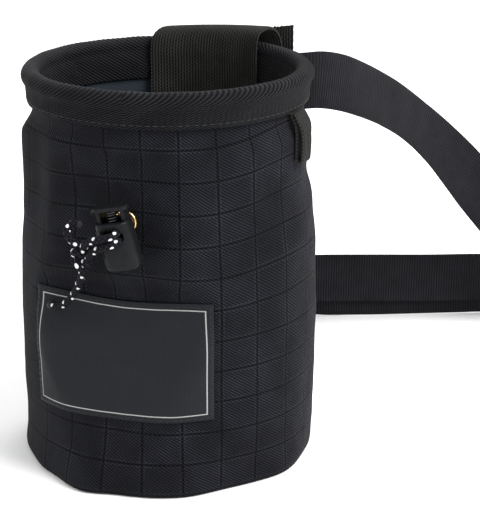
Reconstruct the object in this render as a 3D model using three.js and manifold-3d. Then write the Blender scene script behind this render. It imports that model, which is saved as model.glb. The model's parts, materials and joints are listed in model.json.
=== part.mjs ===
// Climbing chalk bag: a soft round bag with a bound rim, a lining, a stitched label, a drawcord with its cord
// lock, a wide webbing loop at the back and a waist belt through it. Millimetres, +Z up. The origin is the
// middle of the base's underside. The label and the cord lock face -Y, the webbing loop is at +Y and the
// small tape loop at +X. Angles round the bag are degrees from -Y towards +X.

import * as THREE from 'three';
import { mergeVertices } from 'three/addons/utils/BufferGeometryUtils.js';
import Module from 'manifold-3d';

const wasm = await Module();
wasm.setup();

// Driving dimensions of the bag
const bagHeight = 166.5;
const rimDiameter = 120;
const rimRollDiameter = 7.6;
const bindingDepth = 14.5;
const bindingInnerDepth = 17.5;
const bindingSetback = 2.2;
const bindingWall = 1.5;
const shellWall = 1.6;
const liningWall = 1.0;
const liningSlack = 1.2;
const baseThickness = 2.0;
const clothGap = 0.3;

// Driving dimensions of what is sewn on
const labelWidth = 80;
const labelHeight = 51;
const labelBottom = 31;
const labelRise = 2.2;
const labelThickness = 0.9;
const labelAngle = -5;
const loopWebbingWidth = 50;
const loopWebbingThickness = 1.6;
const sideTapeWidth = 8;
const sideTapeThickness = 1.2;
const sideTapeLength = 20;
const sideTapeSlit = 1.2;
const sideTapeAngle = 79;

// Driving dimensions of the belt and its buckle
const beltWidth = 25;
const beltThickness = 1.5;
const beltLineTurn = 17.5;
const buckleBar = 3.0;
const buckleSlot = 5.6;
const buckleRim = 3.2;

// Driving dimensions of the drawcord, eyelet and cord lock
const cordDiameter = 3.0;
const eyeletDiameter = 9.6;
const eyeletHeight = 113.6;
const eyeletSide = -2.6;
const eyeletFlange = 0.9;
const knotDiameter = 10.2;
const lockHeight = 20.7;
const lockWidth = 14.8;
const lockDepth = 10.8;
const lockWall = 1.25;
const lockSeat = new THREE.Vector3(1.4, -61.5, 97);
const lockLean = -11;
const lockPitch = 6;
const capThickness = 1.5;
const capDepth = 6.2;
const capLift = 4.6;
const plungerTravel = 2.4;
const plungerDepth = 5.4;
const legWidth = 1.5;
const runningGap = 0.3;
const springWire = 0.6;
const springTurns = 2.2;
const springSides = 6;
const springStepsPerTurn = 9;

// Steps round the bag, and the heights of the rings of cloth as shares of the bag's height
const stepsRound = 48;
const clothRings = [
  0.015, 0.05, 0.12, 0.22, 0.32, 0.40, 0.46, 0.50, 0.535, 0.57, 0.605, 0.65, 0.71, 0.77, 0.82, 0.86,
];

// The round form of the cloth: its radius as a share of the rim's, at heights that are shares of the bag's
const clothSections = [
  { height: 0.00, radius: 1.015 },
  { height: 0.10, radius: 1.022 },
  { height: 0.28, radius: 1.026 },
  { height: 0.42, radius: 1.034 },
  { height: 0.54, radius: 1.025 },
  { height: 0.64, radius: 1.000 },
  { height: 0.74, radius: 0.984 },
  { height: 0.88, radius: 0.982 },
  { height: 1.00, radius: 0.950 },
];

// The outline of the seam round the base, which spreads in soft corners: its radius as a share of the rim's
const baseOutline = [
  { angle: -90, radius: 1.045 },
  { angle: -55, radius: 1.055 },
  { angle: -38, radius: 1.062 },
  { angle: -17, radius: 1.124 },
  { angle: -3, radius: 1.076 },
  { angle: 20, radius: 1.066 },
  { angle: 42, radius: 0.996 },
  { angle: 66, radius: 1.034 },
  { angle: 96, radius: 1.005 },
  { angle: 135, radius: 1.050 },
  { angle: 180, radius: 1.010 },
  { angle: 225, radius: 1.050 },
  { angle: 270, radius: 1.045 },
];
const baseSpread = 0.14;

// The flat front between two soft upright corners: its distance from the bag's axis as a share of the rim's
// radius. The stiff label holds it flat at its top edge, and the cloth bulges again above it.
const frontFlat = [
  { height: 0.00, distance: 1.150 },
  { height: 0.19, distance: 0.985 },
  { height: 0.34, distance: 0.880 },
  { height: 0.475, distance: 0.812 },
  { height: 0.505, distance: 0.822 },
  { height: 0.565, distance: 0.905 },
  { height: 0.60, distance: 0.915 },
  { height: 0.66, distance: 0.880 },
  { height: 0.74, distance: 0.875 },
  { height: 0.83, distance: 0.900 },
  { height: 0.90, distance: 0.980 },
];

// Dents of the cloth, and ridges where the depth is negative: the depth is a share of the rim's radius, the
// height and reach are shares of the bag's height, the angle and spread are degrees
const folds = [
  { angle: 18, height: 0.845, spread: 24, reach: 0.05, depth: 0.030 },
  { angle: -64, height: 0.80, spread: 9, reach: 0.16, depth: -0.028 },
  { angle: -47, height: 0.76, spread: 8, reach: 0.15, depth: 0.026 },
  { angle: 104, height: 0.745, spread: 20, reach: 0.05, depth: 0.036 },
  { angle: 80, height: 0.625, spread: 12, reach: 0.05, depth: -0.020 },
  { angle: 62, height: 0.70, spread: 10, reach: 0.06, depth: 0.018 },
  { angle: 140, height: 0.42, spread: 20, reach: 0.18, depth: 0.030 },
  { angle: -128, height: 0.62, spread: 16, reach: 0.20, depth: 0.034 },
  { angle: -150, height: 0.30, spread: 14, reach: 0.14, depth: 0.026 },
  { angle: -84, height: 0.27, spread: 30, reach: 0.24, depth: -0.026 },
];
const puckerCount = 13;
const puckerDepth = 0.005;
const puckerReach = 0.07;

// The webbing loop from its end inside the bag, over the rim, down outside the belt and back to the cloth:
// offset is the distance from the rim roll's axis in rim radii, wrap is 1 where the webbing follows the
// round rim and 0 where it lies flat, drift is its way sideways in rim radii
const loopInside = [
  { height: 0.800, wrap: 1.0 },
  { height: 0.870, wrap: 1.0 },
  { height: 0.935, wrap: 1.0 },
  { height: 0.972, wrap: 1.0 },
];
const loopCrest = [
  { offset: -0.075, rise: 0.015, wrap: 1.0, drift: 0.010 },
  { offset: -0.030, rise: 0.027, wrap: 0.9, drift: 0.035 },
  { offset: 0.035, rise: 0.027, wrap: 0.7, drift: 0.065 },
  { offset: 0.085, rise: 0.008, wrap: 0.4, drift: 0.085 },
];
const loopOutside = [
  { height: 0.962, wrap: 0.0 },
  { height: 0.905, wrap: 0.0 },
  { height: 0.820, wrap: 0.0 },
  { height: 0.775, wrap: 0.05 },
];
const loopFoot = [
  { height: 0.715, wrap: 0.7 },
  { height: 0.655, wrap: 1.0 },
];
const loopAngle = 177;
const loopDrift = 0.09;
const crestTilt = 0.009;
const outerPlyShift = 9.2;
const outerPlyTop = 0.007;
const outerPlySlant = 0.024;
const beltHeightInLoop = 0.882;

// The belt's route in plan and height, along and away from the bag on the line that its free reach takes:
// along and away in rim radii, height in bag heights, stand in belt widths, lean in degrees
const beltLeft = [
  { along: 0.02, away: 2.500, height: 0.000, stand: 0.860, lean: 0 },
  { along: -0.25, away: 2.460, height: 0.020, stand: 0.860, lean: 0 },
  { along: -0.55, away: 2.330, height: 0.120, stand: 0.800, lean: 4 },
  { along: -0.80, away: 2.100, height: 0.300, stand: 0.600, lean: 8 },
  { along: -0.88, away: 1.800, height: 0.530, stand: 0.400, lean: 8 },
  { along: -0.78, away: 1.480, height: 0.720, stand: 0.250, lean: 4 },
  { along: -0.50, away: 1.240, height: 0.820, stand: 0.150, lean: 0 },
];
const beltRight = [
  { along: 0.998, away: 0.725, height: 0.892, lean: 0 },
  { along: 1.110, away: 0.767, height: 0.891, lean: 4 },
  { along: 1.270, away: 0.885, height: 0.874, lean: 12 },
  { along: 1.437, away: 1.055, height: 0.842, lean: 19 },
  { along: 1.614, away: 1.267, height: 0.799, lean: 24 },
  { along: 1.794, away: 1.450, height: 0.749, lean: 25 },
  { along: 1.980, away: 1.633, height: 0.686, lean: 22 },
  { along: 2.167, away: 1.783, height: 0.616, lean: 14 },
  { along: 2.354, away: 1.900, height: 0.538, lean: 4 },
  { along: 2.523, away: 1.983, height: 0.463, lean: -3 },
];
const beltTurn = [
  { along: 2.77, away: 2.060, height: 0.345, stand: 0.05, lean: -4 },
  { along: 2.98, away: 2.140, height: 0.240, stand: 0.15, lean: 0 },
  { along: 3.13, away: 2.250, height: 0.140, stand: 0.34, lean: 4 },
  { along: 3.18, away: 2.380, height: 0.070, stand: 0.52, lean: 4 },
  { along: 3.10, away: 2.490, height: 0.020, stand: 0.70, lean: 2 },
  { along: 2.92, away: 2.530, height: 0.000, stand: 0.80, lean: 0 },
  { along: 2.62, away: 2.505, height: 0.000, stand: 0.83, lean: 0 },
  { along: 2.20, away: 2.490, height: 0.000, stand: 0.84, lean: 0 },
  { along: 1.70, away: 2.485, height: 0.000, stand: 0.86, lean: 0 },
  { along: 1.20, away: 2.480, height: 0.000, stand: 0.87, lean: 0 },
];
const tailRun = [
  { along: 1.20, away: 2.560, height: 0.000, stand: 0.530, lean: 0 },
  { along: 1.62, away: 2.535, height: 0.000, stand: 0.515, lean: 0 },
  { along: 2.20, away: 2.550, height: 0.000, stand: 0.515, lean: 0 },
  { along: 2.72, away: 2.565, height: 0.000, stand: 0.520, lean: 0 },
];
const buckleAlong = 0.36;
const buckleAway = 2.50;
const buckleStand = 0.86;

// The drawcord: two strands from the eyelet through the lock to the knot, and two tails beyond the knot
const knotCentre = new THREE.Vector3(-14.8, -66, 101.5);
const strandUpper = [
  [-2.6, -51.6, 115.2], [-2.4, -54.4, 115.1], [-0.5, -58.2, 114.6], [0.1, -61.8, 114.1], [0.1, -66.0, 113.7],
  [0.0, -69.2, 113.35], [-1.0, -71.2, 112.9], [-3.0, -72.0, 112.3], [-6.0, -72.0, 111.5], [-9.0, -71.2, 110.4],
  [-11.6, -69.8, 109.0], [-13.5, -68.3, 107.1],
];
const strandLower = [
  [-2.6, -51.6, 112.0], [-2.4, -54.4, 111.95], [-0.1, -58.2, 111.4], [0.6, -61.8, 111.0], [0.7, -66.0, 110.55],
  [0.6, -69.0, 110.1], [-0.6, -70.8, 109.6], [-2.6, -71.5, 108.8], [-5.4, -71.3, 107.8], [-8.0, -70.4, 106.4],
  [-10.3, -69.0, 104.6],
];
const tailShort = [
  [-17.1, -67.0, 107.0], [-19.2, -67.0, 108.9], [-21.0, -66.3, 111.0], [-20.9, -65.0, 113.4], [-18.9, -63.9, 114.6],
  [-16.3, -63.1, 114.3],
];
const tailLong = [
  [-15.6, -65.0, 95.5], [-17.0, -63.0, 92.0], [-19.0, -60.6, 88.4], [-21.2, -58.2, 84.8], [-24.2, -55.6, 80.6],
  [-28.0, -53.4, 77.0], [-32.0, -51.4, 75.0], [-35.8, -49.0, 74.4],
];
const cordSides = 8;

// Sizes that follow from the driving dimensions
const rimRadius = rimDiameter / 2;
const rollRadius = rimRollDiameter / 2;
const rollRing = rimRadius - rollRadius;
const rollHeight = bagHeight - rollRadius;
const hemHeight = bagHeight - bindingDepth;
const innerHemHeight = bagHeight - bindingInnerDepth;
const bindingOutside = rimRadius - bindingSetback;
const shellTopRadius = bindingOutside - bindingWall - clothGap;
const liningTopRadius = shellTopRadius - shellWall - clothGap;
const bindingInside = liningTopRadius - liningWall - clothGap - bindingWall;
const channelTop = rollHeight - 1.1 * rollRadius;
const clothTop = channelTop - clothGap;
const clothBottom = baseThickness + clothGap;
const tuckHeight = innerHemHeight - clothGap * 2;

const upright = new THREE.Vector3(0, 0, 1);

function radians(degrees) {
  return degrees * Math.PI / 180;
}

function mix(a, b, share) {
  return a + (b - a) * share;
}

function smooth(low, high, value) {
  const share = Math.min(1, Math.max(0, (value - low) / (high - low)));
  return share * share * (3 - 2 * share);
}

// A table's value at a height share, eased from row to row
function fromTable(rows, height, column) {
  const last = rows.length - 1;
  if (height <= rows[0].height) return rows[0][column];
  if (height >= rows[last].height) return rows[last][column];
  const next = rows.findIndex((row) => row.height > height);
  const low = rows[next - 1];
  const high = rows[next];
  return mix(low[column], high[column], smooth(low.height, high.height, height));
}

function softMin(a, b, width) {
  const near = Math.max(width - Math.abs(a - b), 0);
  return Math.min(a, b) - near * near / (4 * width);
}

function angleBetween(a, b) {
  return Math.abs(((a - b) % 360 + 540) % 360 - 180);
}

function baseShare(angle) {
  const turned = ((angle + 90) % 360 + 360) % 360 - 90;
  const next = baseOutline.findIndex((row) => row.angle > turned);
  const low = baseOutline[next - 1];
  const high = baseOutline[next];
  return mix(low.radius, high.radius, smooth(low.angle, high.angle, turned));
}

// The shell's outer face: the round form, its flat front, the folds and the puckers of the base seam, all
// fading into the circle that the binding holds
function shellRadius(angle, z) {
  const height = z / bagHeight;
  const spread = 1 - smooth(0, baseSpread, height);
  const round = rimRadius * mix(fromTable(clothSections, height, 'radius'), baseShare(angle), spread);
  const off = angleBetween(angle, labelAngle);
  const flatRadius = rimRadius * fromTable(frontFlat, height, 'distance') / Math.cos(radians(Math.min(off, 75)));
  let radius = softMin(round, flatRadius, rimRadius * 0.05);
  for (const fold of folds) {
    const across = angleBetween(angle, fold.angle) / fold.spread;
    const along = (height - fold.height) / fold.reach;
    radius -= rimRadius * fold.depth * Math.exp(-across * across - along * along);
  }
  const pucker = Math.max(0, 1 - height / puckerReach);
  radius -= rimRadius * puckerDepth * pucker * (1 + Math.cos(radians(angle * puckerCount)));
  const tuck = smooth(innerHemHeight - bindingInnerDepth * 0.5, tuckHeight, z);
  return mix(radius, shellTopRadius, tuck);
}

function around(angle, radius, z) {
  return new THREE.Vector3(radius * Math.sin(radians(angle)), -radius * Math.cos(radians(angle)), z);
}

// A closed solid from points and triangles: equal points are merged, triangles of no area are dropped and
// the faces are turned outwards
function solidOf(points, triangles) {
  const soup = new THREE.BufferGeometry();
  soup.setAttribute('position', new THREE.Float32BufferAttribute(points.flatMap((p) => p.toArray()), 3));
  soup.setIndex(triangles.flat());
  const merged = mergeVertices(soup, 1e-4);
  const place = merged.getAttribute('position');
  const at = (index) => new THREE.Vector3().fromBufferAttribute(place, index);
  const kept = [];
  let volume = 0;
  for (let first = 0; first < merged.index.count; first += 3) {
    const [a, b, c] = [0, 1, 2].map((corner) => merged.index.getX(first + corner));
    if (a === b || b === c || c === a) continue;
    kept.push([a, b, c]);
    volume += at(a).dot(at(b).cross(at(c)));
  }
  merged.setIndex(kept.flatMap(([a, b, c]) => (volume > 0 ? [a, b, c] : [a, c, b])));
  merged.computeVertexNormals();
  return merged;
}

// A wall between two grids of points: point(row, column, side) gives the face at side 0 and at side 1
function wall(rows, columns, point, closed = false) {
  const points = [];
  const index = (row, column, side) => ((row % rows) * columns + column) * 2 + side;
  for (let row = 0; row < rows; row += 1) {
    for (let column = 0; column < columns; column += 1) {
      points.push(point(row, column, 0), point(row, column, 1));
    }
  }
  const triangles = [];
  const quad = (a, b, c, d) => triangles.push([a, b, c], [a, c, d]);
  const rowSteps = closed ? rows : rows - 1;
  for (let row = 0; row < rowSteps; row += 1) {
    for (let column = 0; column < columns - 1; column += 1) {
      quad(index(row, column, 0), index(row + 1, column, 0), index(row + 1, column + 1, 0),
        index(row, column + 1, 0));
      quad(index(row, column, 1), index(row, column + 1, 1), index(row + 1, column + 1, 1),
        index(row + 1, column, 1));
    }
    quad(index(row, 0, 0), index(row, 0, 1), index(row + 1, 0, 1), index(row + 1, 0, 0));
    quad(index(row, columns - 1, 0), index(row + 1, columns - 1, 0), index(row + 1, columns - 1, 1),
      index(row, columns - 1, 1));
  }
  if (!closed) {
    for (let column = 0; column < columns - 1; column += 1) {
      quad(index(0, column, 0), index(0, column + 1, 0), index(0, column + 1, 1), index(0, column, 1));
      quad(index(rows - 1, column, 0), index(rows - 1, column, 1), index(rows - 1, column + 1, 1),
        index(rows - 1, column + 1, 0));
    }
  }
  return solidOf(points, triangles);
}

// A wall that goes right round the bag
function ring(profile) {
  const columns = profile(0).length;
  const profiles = Array.from({ length: stepsRound }, (unused, step) => profile(360 * step / stepsRound));
  return wall(stepsRound, columns, (row, column, side) => {
    const [radius, z] = profiles[row][column][side];
    return around(360 * row / stepsRound, radius, z);
  }, true);
}

function toManifold(geometry) {
  const bare = geometry.clone();
  bare.deleteAttribute('normal');
  bare.deleteAttribute('uv');
  const merged = mergeVertices(bare, 1e-4);
  return new wasm.Manifold(new wasm.Mesh({
    numProp: 3,
    vertProperties: new Float32Array(merged.getAttribute('position').array),
    triVerts: new Uint32Array(merged.index.array),
  }));
}

function fromManifold(solid) {
  const mesh = solid.getMesh();
  const geometry = new THREE.BufferGeometry();
  geometry.setAttribute('position', new THREE.BufferAttribute(new Float32Array(mesh.vertProperties), 3));
  geometry.setIndex(new THREE.BufferAttribute(new Uint32Array(mesh.triVerts), 1));
  geometry.computeVertexNormals();
  return geometry;
}

// A block from its lowest to its highest corner
function block(low, high) {
  const size = high.map((value, axis) => value - low[axis]);
  const geometry = new THREE.BoxGeometry(...size);
  geometry.translate(...high.map((value, axis) => (value + low[axis]) / 2));
  return geometry;
}

function finish(colour, roughness, metalness = 0) {
  return new THREE.MeshStandardMaterial({ color: colour, roughness, metalness });
}

function part(name, geometry, material) {
  const mesh = new THREE.Mesh(geometry, material);
  mesh.name = name;
  return mesh;
}

// Bag: base, shell, lining and binding

function basePanelShape() {
  const outline = new THREE.Shape(Array.from({ length: stepsRound }, (unused, step) => {
    const angle = 360 * step / stepsRound;
    const edge = around(angle, shellRadius(angle, clothBottom), 0);
    return new THREE.Vector2(edge.x, edge.y);
  }));
  return new THREE.ExtrudeGeometry(outline, { depth: baseThickness, bevelEnabled: false });
}

function shellShape() {
  const heights = [clothBottom, ...clothRings.map((share) => share * bagHeight), tuckHeight, clothTop];
  const cloth = ring((angle) => heights.map((z) => {
    const outside = shellRadius(angle, z);
    return [[outside, z], [outside - shellWall, z]];
  }));
  const hole = new THREE.CylinderGeometry(eyeletHole, eyeletHole, shellWall * 8, 16);
  hole.applyMatrix4(eyeletPlace);
  return fromManifold(toManifold(cloth).subtract(toManifold(hole)));
}

function liningShape() {
  const heights = [clothTop, innerHemHeight, 0.81 * bagHeight, 0.70 * bagHeight, 0.60 * bagHeight, 0.535 * bagHeight,
    0.475 * bagHeight, 0.32 * bagHeight, 0.12 * bagHeight];
  const floorBottom = clothBottom;
  const floorTop = floorBottom + liningWall;
  const slack = (z) => liningSlack * (1 - smooth(innerHemHeight - bindingInnerDepth, innerHemHeight, z));
  const inset = (z) => shellWall + clothGap + slack(z);
  return ring((angle) => {
    const profile = heights.map((z) => {
      const outside = Math.min(shellRadius(angle, z) - inset(z), liningTopRadius);
      return [[outside, z], [outside - liningWall, z]];
    });
    const foot = shellRadius(angle, clothBottom) - inset(0);
    profile.push([[foot, floorBottom], [foot - liningWall, floorTop]]);
    profile.push([[0, floorBottom], [0, floorTop]]);
    return profile;
  });
}

function bindingShape() {
  const rollSteps = 7;
  const start = radians(-38);
  const sweep = Math.PI - 2 * start;
  const channelOutside = bindingOutside - bindingWall;
  const channelInside = bindingInside + bindingWall;
  const profile = [
    [[bindingOutside, hemHeight], [channelOutside, hemHeight]],
    [[bindingOutside, channelTop - rollRadius * 0.4], [channelOutside, channelTop - rollRadius * 0.4]],
  ];
  for (let step = 0; step < rollSteps; step += 1) {
    const share = step / (rollSteps - 1);
    const turn = start + sweep * share;
    profile.push([
      [rollRing + rollRadius * Math.cos(turn), rollHeight + rollRadius * Math.sin(turn)],
      [mix(channelOutside, channelInside, share), channelTop],
    ]);
  }
  profile.push([[bindingInside, channelTop - rollRadius * 0.6], [channelInside, channelTop - rollRadius * 0.6]]);
  profile.push([[bindingInside, innerHemHeight], [channelInside, innerHemHeight]]);
  return ring(() => profile);
}

// What is sewn on: label, webbing loop and tape loop

// The values of a list that lie well inside a range, with the range's own ends
function within(low, high, values, margin) {
  return [low, ...values.filter((value) => value > low + margin && value < high - margin), high];
}

// The label follows the cloth's own facets
function labelShape() {
  const standOff = clothGap + 0.1;
  const halfSpread = labelWidth / 2 / rimRadius * 180 / Math.PI;
  const steps = Array.from({ length: stepsRound + 1 }, (unused, step) => 360 * step / stepsRound - 180);
  const angles = within(labelAngle - halfSpread, labelAngle + halfSpread, steps, 1);
  const heights = within(labelBottom, labelBottom + labelHeight, clothRings.map((share) => share * bagHeight), 1);
  return wall(angles.length, heights.length, (row, column, side) => {
    const z = heights[column] + (column === 0 ? labelRise * row / (angles.length - 1) : 0);
    return around(angles[row], shellRadius(angles[row], z) + standOff + labelThickness * side, z);
  });
}

// A point of the back loop's webbing: share runs from -1 to 1 across it
function webbingPoint(section, share, middle, shift) {
  const side = share * loopWebbingWidth / 2 + shift + section.drift * rimRadius;
  const z = section.z + section.slant * share * bagHeight;
  const bent = around(180 - side / section.radius * 180 / Math.PI, section.radius, z);
  const flat = new THREE.Vector3(side, section.radius, z);
  const point = flat.lerp(bent, section.wrap);
  return point.applyAxisAngle(upright, radians(middle - 180));
}

// Webbing along a profile of sections, with its thickness to both sides of the profile
function webbingShape(sections, middle, shift, columns) {
  return wall(sections.length, columns, (row, column, side) => {
    const before = sections[Math.max(row - 1, 0)];
    const after = sections[Math.min(row + 1, sections.length - 1)];
    const along = new THREE.Vector2(after.radius - before.radius, after.z - before.z).normalize();
    const offset = (side - 0.5) * loopWebbingThickness;
    const section = {
      radius: sections[row].radius + along.y * offset,
      z: sections[row].z - along.x * offset,
      wrap: sections[row].wrap,
      drift: sections[row].drift,
      slant: sections[row].slant,
    };
    return webbingPoint(section, mix(-1, 1, column / (columns - 1)), middle, shift);
  });
}

const half = loopWebbingThickness / 2;
const beltInLoop = rimRadius * 0.982 + clothGap * 2 + beltThickness / 2;
const loopOutsideRadius = beltInLoop + beltThickness / 2 + clothGap * 2 + half;

function loopFootSections(shiftOut) {
  return loopFoot.map((row) => {
    const z = row.height * bagHeight;
    const radius = shellRadius(loopAngle, z) + clothGap + 0.3 + half + shiftOut;
    return { radius, z, wrap: row.wrap, drift: loopDrift, slant: 0 };
  });
}

function loopUpright(rows, radius, drift) {
  return rows.map((row) => ({ radius, z: row.height * bagHeight, wrap: row.wrap, drift, slant: 0 }));
}

function backLoopSections() {
  return [
    ...loopUpright(loopInside, bindingInside - clothGap - half, 0),
    ...loopCrest.map((row) => ({
      radius: rollRing + row.offset * rimRadius,
      z: bagHeight + row.rise * bagHeight,
      wrap: row.wrap,
      drift: row.drift,
      slant: crestTilt,
    })),
    ...loopUpright(loopOutside, loopOutsideRadius, loopDrift),
    ...loopFootSections(0),
  ];
}

function outerPlySections() {
  const plyOut = loopWebbingThickness + clothGap * 3;
  const radius = loopOutsideRadius + plyOut;
  return [
    { radius, z: bagHeight * (1 + outerPlyTop), wrap: 0, drift: 0, slant: outerPlySlant },
    ...loopUpright(loopOutside, radius, 0),
    ...loopFootSections(plyOut).map((row) => ({ ...row, drift: 0 })),
  ];
}

function tapeLoopShape() {
  const top = hemHeight - clothGap;
  const near = sideTapeThickness / 2;
  const far = near + sideTapeThickness + sideTapeSlit;
  const bend = (far - near) / 2;
  const bottom = top - sideTapeLength + bend;
  const standing = (z) => shellRadius(sideTapeAngle, z) + clothGap + 0.2;
  const base = Math.max(standing(top), standing(bottom), standing((top + bottom) / 2));
  const tucked = standing(top) - base + near;
  const path = [[tucked, top], [near, mix(top, bottom, 0.4)], [near, mix(top, bottom, 0.7)], [near, bottom]];
  for (let step = 1; step < 6; step += 1) {
    const turn = Math.PI * step / 6;
    path.push([near + bend - bend * Math.cos(turn), bottom - bend * Math.sin(turn)]);
  }
  path.push([far, bottom], [far, mix(top, bottom, 0.4)], [tucked + sideTapeThickness + clothGap * 2, top]);
  const outwards = around(sideTapeAngle, 1, 0);
  const across = around(sideTapeAngle + 90, 1, 0);
  return wall(path.length, 2, (row, column, side) => {
    const before = path[Math.max(row - 1, 0)];
    const after = path[Math.min(row + 1, path.length - 1)];
    const along = new THREE.Vector2(after[0] - before[0], after[1] - before[1]).normalize();
    const offset = (side - 0.5) * sideTapeThickness;
    const radius = base + path[row][0] + along.y * offset;
    const point = outwards.clone().multiplyScalar(radius);
    point.addScaledVector(across, (column - 0.5) * sideTapeWidth);
    point.z = path[row][1] - along.x * offset;
    return point;
  });
}

// Belt: one length of webbing from the buckle round the left, through the loop and back to the buckle

const alongDirection = new THREE.Vector3(Math.cos(radians(beltLineTurn)), Math.sin(radians(beltLineTurn)), 0);
const awayDirection = new THREE.Vector3(-alongDirection.y, alongDirection.x, 0);

function beltPoint(along, away, z) {
  const point = new THREE.Vector3(0, 0, z);
  return point.addScaledVector(alongDirection, along).addScaledVector(awayDirection, away);
}

function beltStation(row) {
  const z = row.height * bagHeight + (row.stand ?? 0) * beltWidth;
  return { centre: beltPoint(row.along * rimRadius, row.away * rimRadius, z), lean: row.lean };
}

function beltStations() {
  const z = buckleStand * beltWidth;
  const wrapOut = buckleBar / Math.SQRT2 + runningGap * 1.5 + beltThickness / 2;
  const barOut = buckleSlot + buckleBar;
  const away = buckleAway * rimRadius;
  const middle = buckleAlong * rimRadius;
  const leftBar = middle - barOut;
  const rightBar = middle + barOut;
  const turn = (bar, side, angle) => ({
    centre: beltPoint(bar + side * wrapOut * Math.cos(radians(angle)), away + wrapOut * Math.sin(radians(angle)), z),
    lean: 0,
  });
  const hemTurns = 6;
  const stations = [
    { centre: beltPoint(leftBar - beltWidth * 0.5, away + wrapOut, z), lean: 0 },
    { centre: beltPoint(leftBar - beltWidth * 0.2, away + wrapOut, z), lean: 0 },
  ];
  for (let step = 0; step <= hemTurns; step += 1) stations.push(turn(leftBar, 1, 90 - 180 * step / hemTurns));
  stations.push({ centre: beltPoint(leftBar - beltWidth * 0.25, away - wrapOut, z), lean: 0 });
  stations.push(...beltLeft.map(beltStation));
  for (const side of [-1, -0.5, 0, 0.5, 1]) {
    const centre = new THREE.Vector3(side * loopWebbingWidth / 2, beltInLoop, beltHeightInLoop * bagHeight);
    stations.push({ centre: centre.applyAxisAngle(upright, radians(loopAngle - 180)), lean: 0 });
  }
  stations.push(...beltRight.map(beltStation));
  stations.push(...beltTurn.map(beltStation));
  stations.push({ centre: beltPoint(rightBar + beltWidth * 0.35, away - wrapOut, z), lean: 0 });
  for (let step = 0; step <= hemTurns; step += 1) stations.push(turn(rightBar, -1, -90 + 180 * step / hemTurns));
  stations.push({ centre: beltPoint(rightBar + beltWidth * 0.35, away + wrapOut, z), lean: 0 });
  stations.push(...tailRun.map(beltStation));
  return stations;
}

function beltShape() {
  const stations = beltStations();
  const curve = new THREE.CatmullRomCurve3(stations.map((station) => station.centre), false, 'centripetal');
  const rows = [];
  stations.forEach((station, index) => {
    const last = index === stations.length - 1;
    const gap = last ? 0 : station.centre.distanceTo(stations[index + 1].centre);
    const parts = last ? 1 : Math.max(1, Math.round(gap / (beltWidth * 0.45)));
    for (let piece = 0; piece < parts; piece += 1) {
      const share = (index + piece / parts) / (stations.length - 1);
      const lean = mix(station.lean, last ? station.lean : stations[index + 1].lean, piece / parts);
      const centre = curve.getPoint(share);
      const tangent = curve.getTangent(share);
      const up = new THREE.Vector3(0, 0, Math.cos(radians(lean)));
      up.addScaledVector(awayDirection, Math.sin(radians(lean)));
      up.addScaledVector(tangent, -up.dot(tangent)).normalize();
      rows.push({ centre, up, out: new THREE.Vector3().crossVectors(tangent, up).normalize() });
    }
  });
  return wall(rows.length, 2, (row, column, side) => {
    const { centre, up, out } = rows[row];
    const point = centre.clone().addScaledVector(up, (column - 0.5) * beltWidth);
    return point.addScaledVector(out, (side - 0.5) * beltThickness);
  });
}

function buckleShape() {
  const halfLength = buckleSlot + buckleBar * 1.5;
  const slotHalf = beltWidth / 2 + runningGap * 2;
  const halfHeight = slotHalf + buckleRim;
  const halfThickness = buckleBar / 2;
  let frame = toManifold(block([-halfLength, -halfThickness, -halfHeight], [halfLength, halfThickness, halfHeight]));
  for (const side of [-1, 1]) {
    const middle = side * (buckleBar + buckleSlot) / 2;
    const slot = block([middle - buckleSlot / 2, -buckleBar, -slotHalf], [middle + buckleSlot / 2, buckleBar, slotHalf]);
    frame = frame.subtract(toManifold(slot));
  }
  const geometry = fromManifold(frame);
  geometry.rotateZ(radians(beltLineTurn));
  const place = beltPoint(buckleAlong * rimRadius, buckleAway * rimRadius, buckleStand * beltWidth);
  geometry.translate(place.x, place.y, place.z);
  return geometry;
}

// Drawcord, eyelet and cord lock

const eyeletBore = cordDiameter + 1.5 * clothGap;
const eyeletBarrel = eyeletBore + 0.7;
const eyeletHole = eyeletBarrel + clothGap;
const eyeletAngle = Math.asin(eyeletSide / rimRadius) * 180 / Math.PI;

// The eyelet's flange stands clear of the proudest cloth under it
function eyeletStand() {
  const outwards = around(labelAngle, 1, 0);
  const reach = eyeletDiameter / 2;
  const spread = reach / rimRadius * 180 / Math.PI * 1.25;
  const distances = [];
  for (const side of [-1, -0.5, 0, 0.5, 1]) {
    for (const rise of [-1, -0.5, 0, 0.5, 1]) {
      const angle = eyeletAngle + side * spread;
      const z = eyeletHeight + rise * reach;
      distances.push(around(angle, shellRadius(angle, z), z).dot(outwards));
    }
  }
  const middle = around(eyeletAngle, shellRadius(eyeletAngle, eyeletHeight), eyeletHeight);
  return middle.addScaledVector(outwards, Math.max(...distances) + clothGap + 0.1 - middle.dot(outwards));
}

const eyeletOut = around(labelAngle, 1, 0);
const eyeletAcross = around(labelAngle + 90, 1, 0);
const eyeletPlace = new THREE.Matrix4()
  .makeBasis(eyeletAcross, eyeletOut, new THREE.Vector3().crossVectors(eyeletAcross, eyeletOut))
  .setPosition(eyeletStand());

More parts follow.
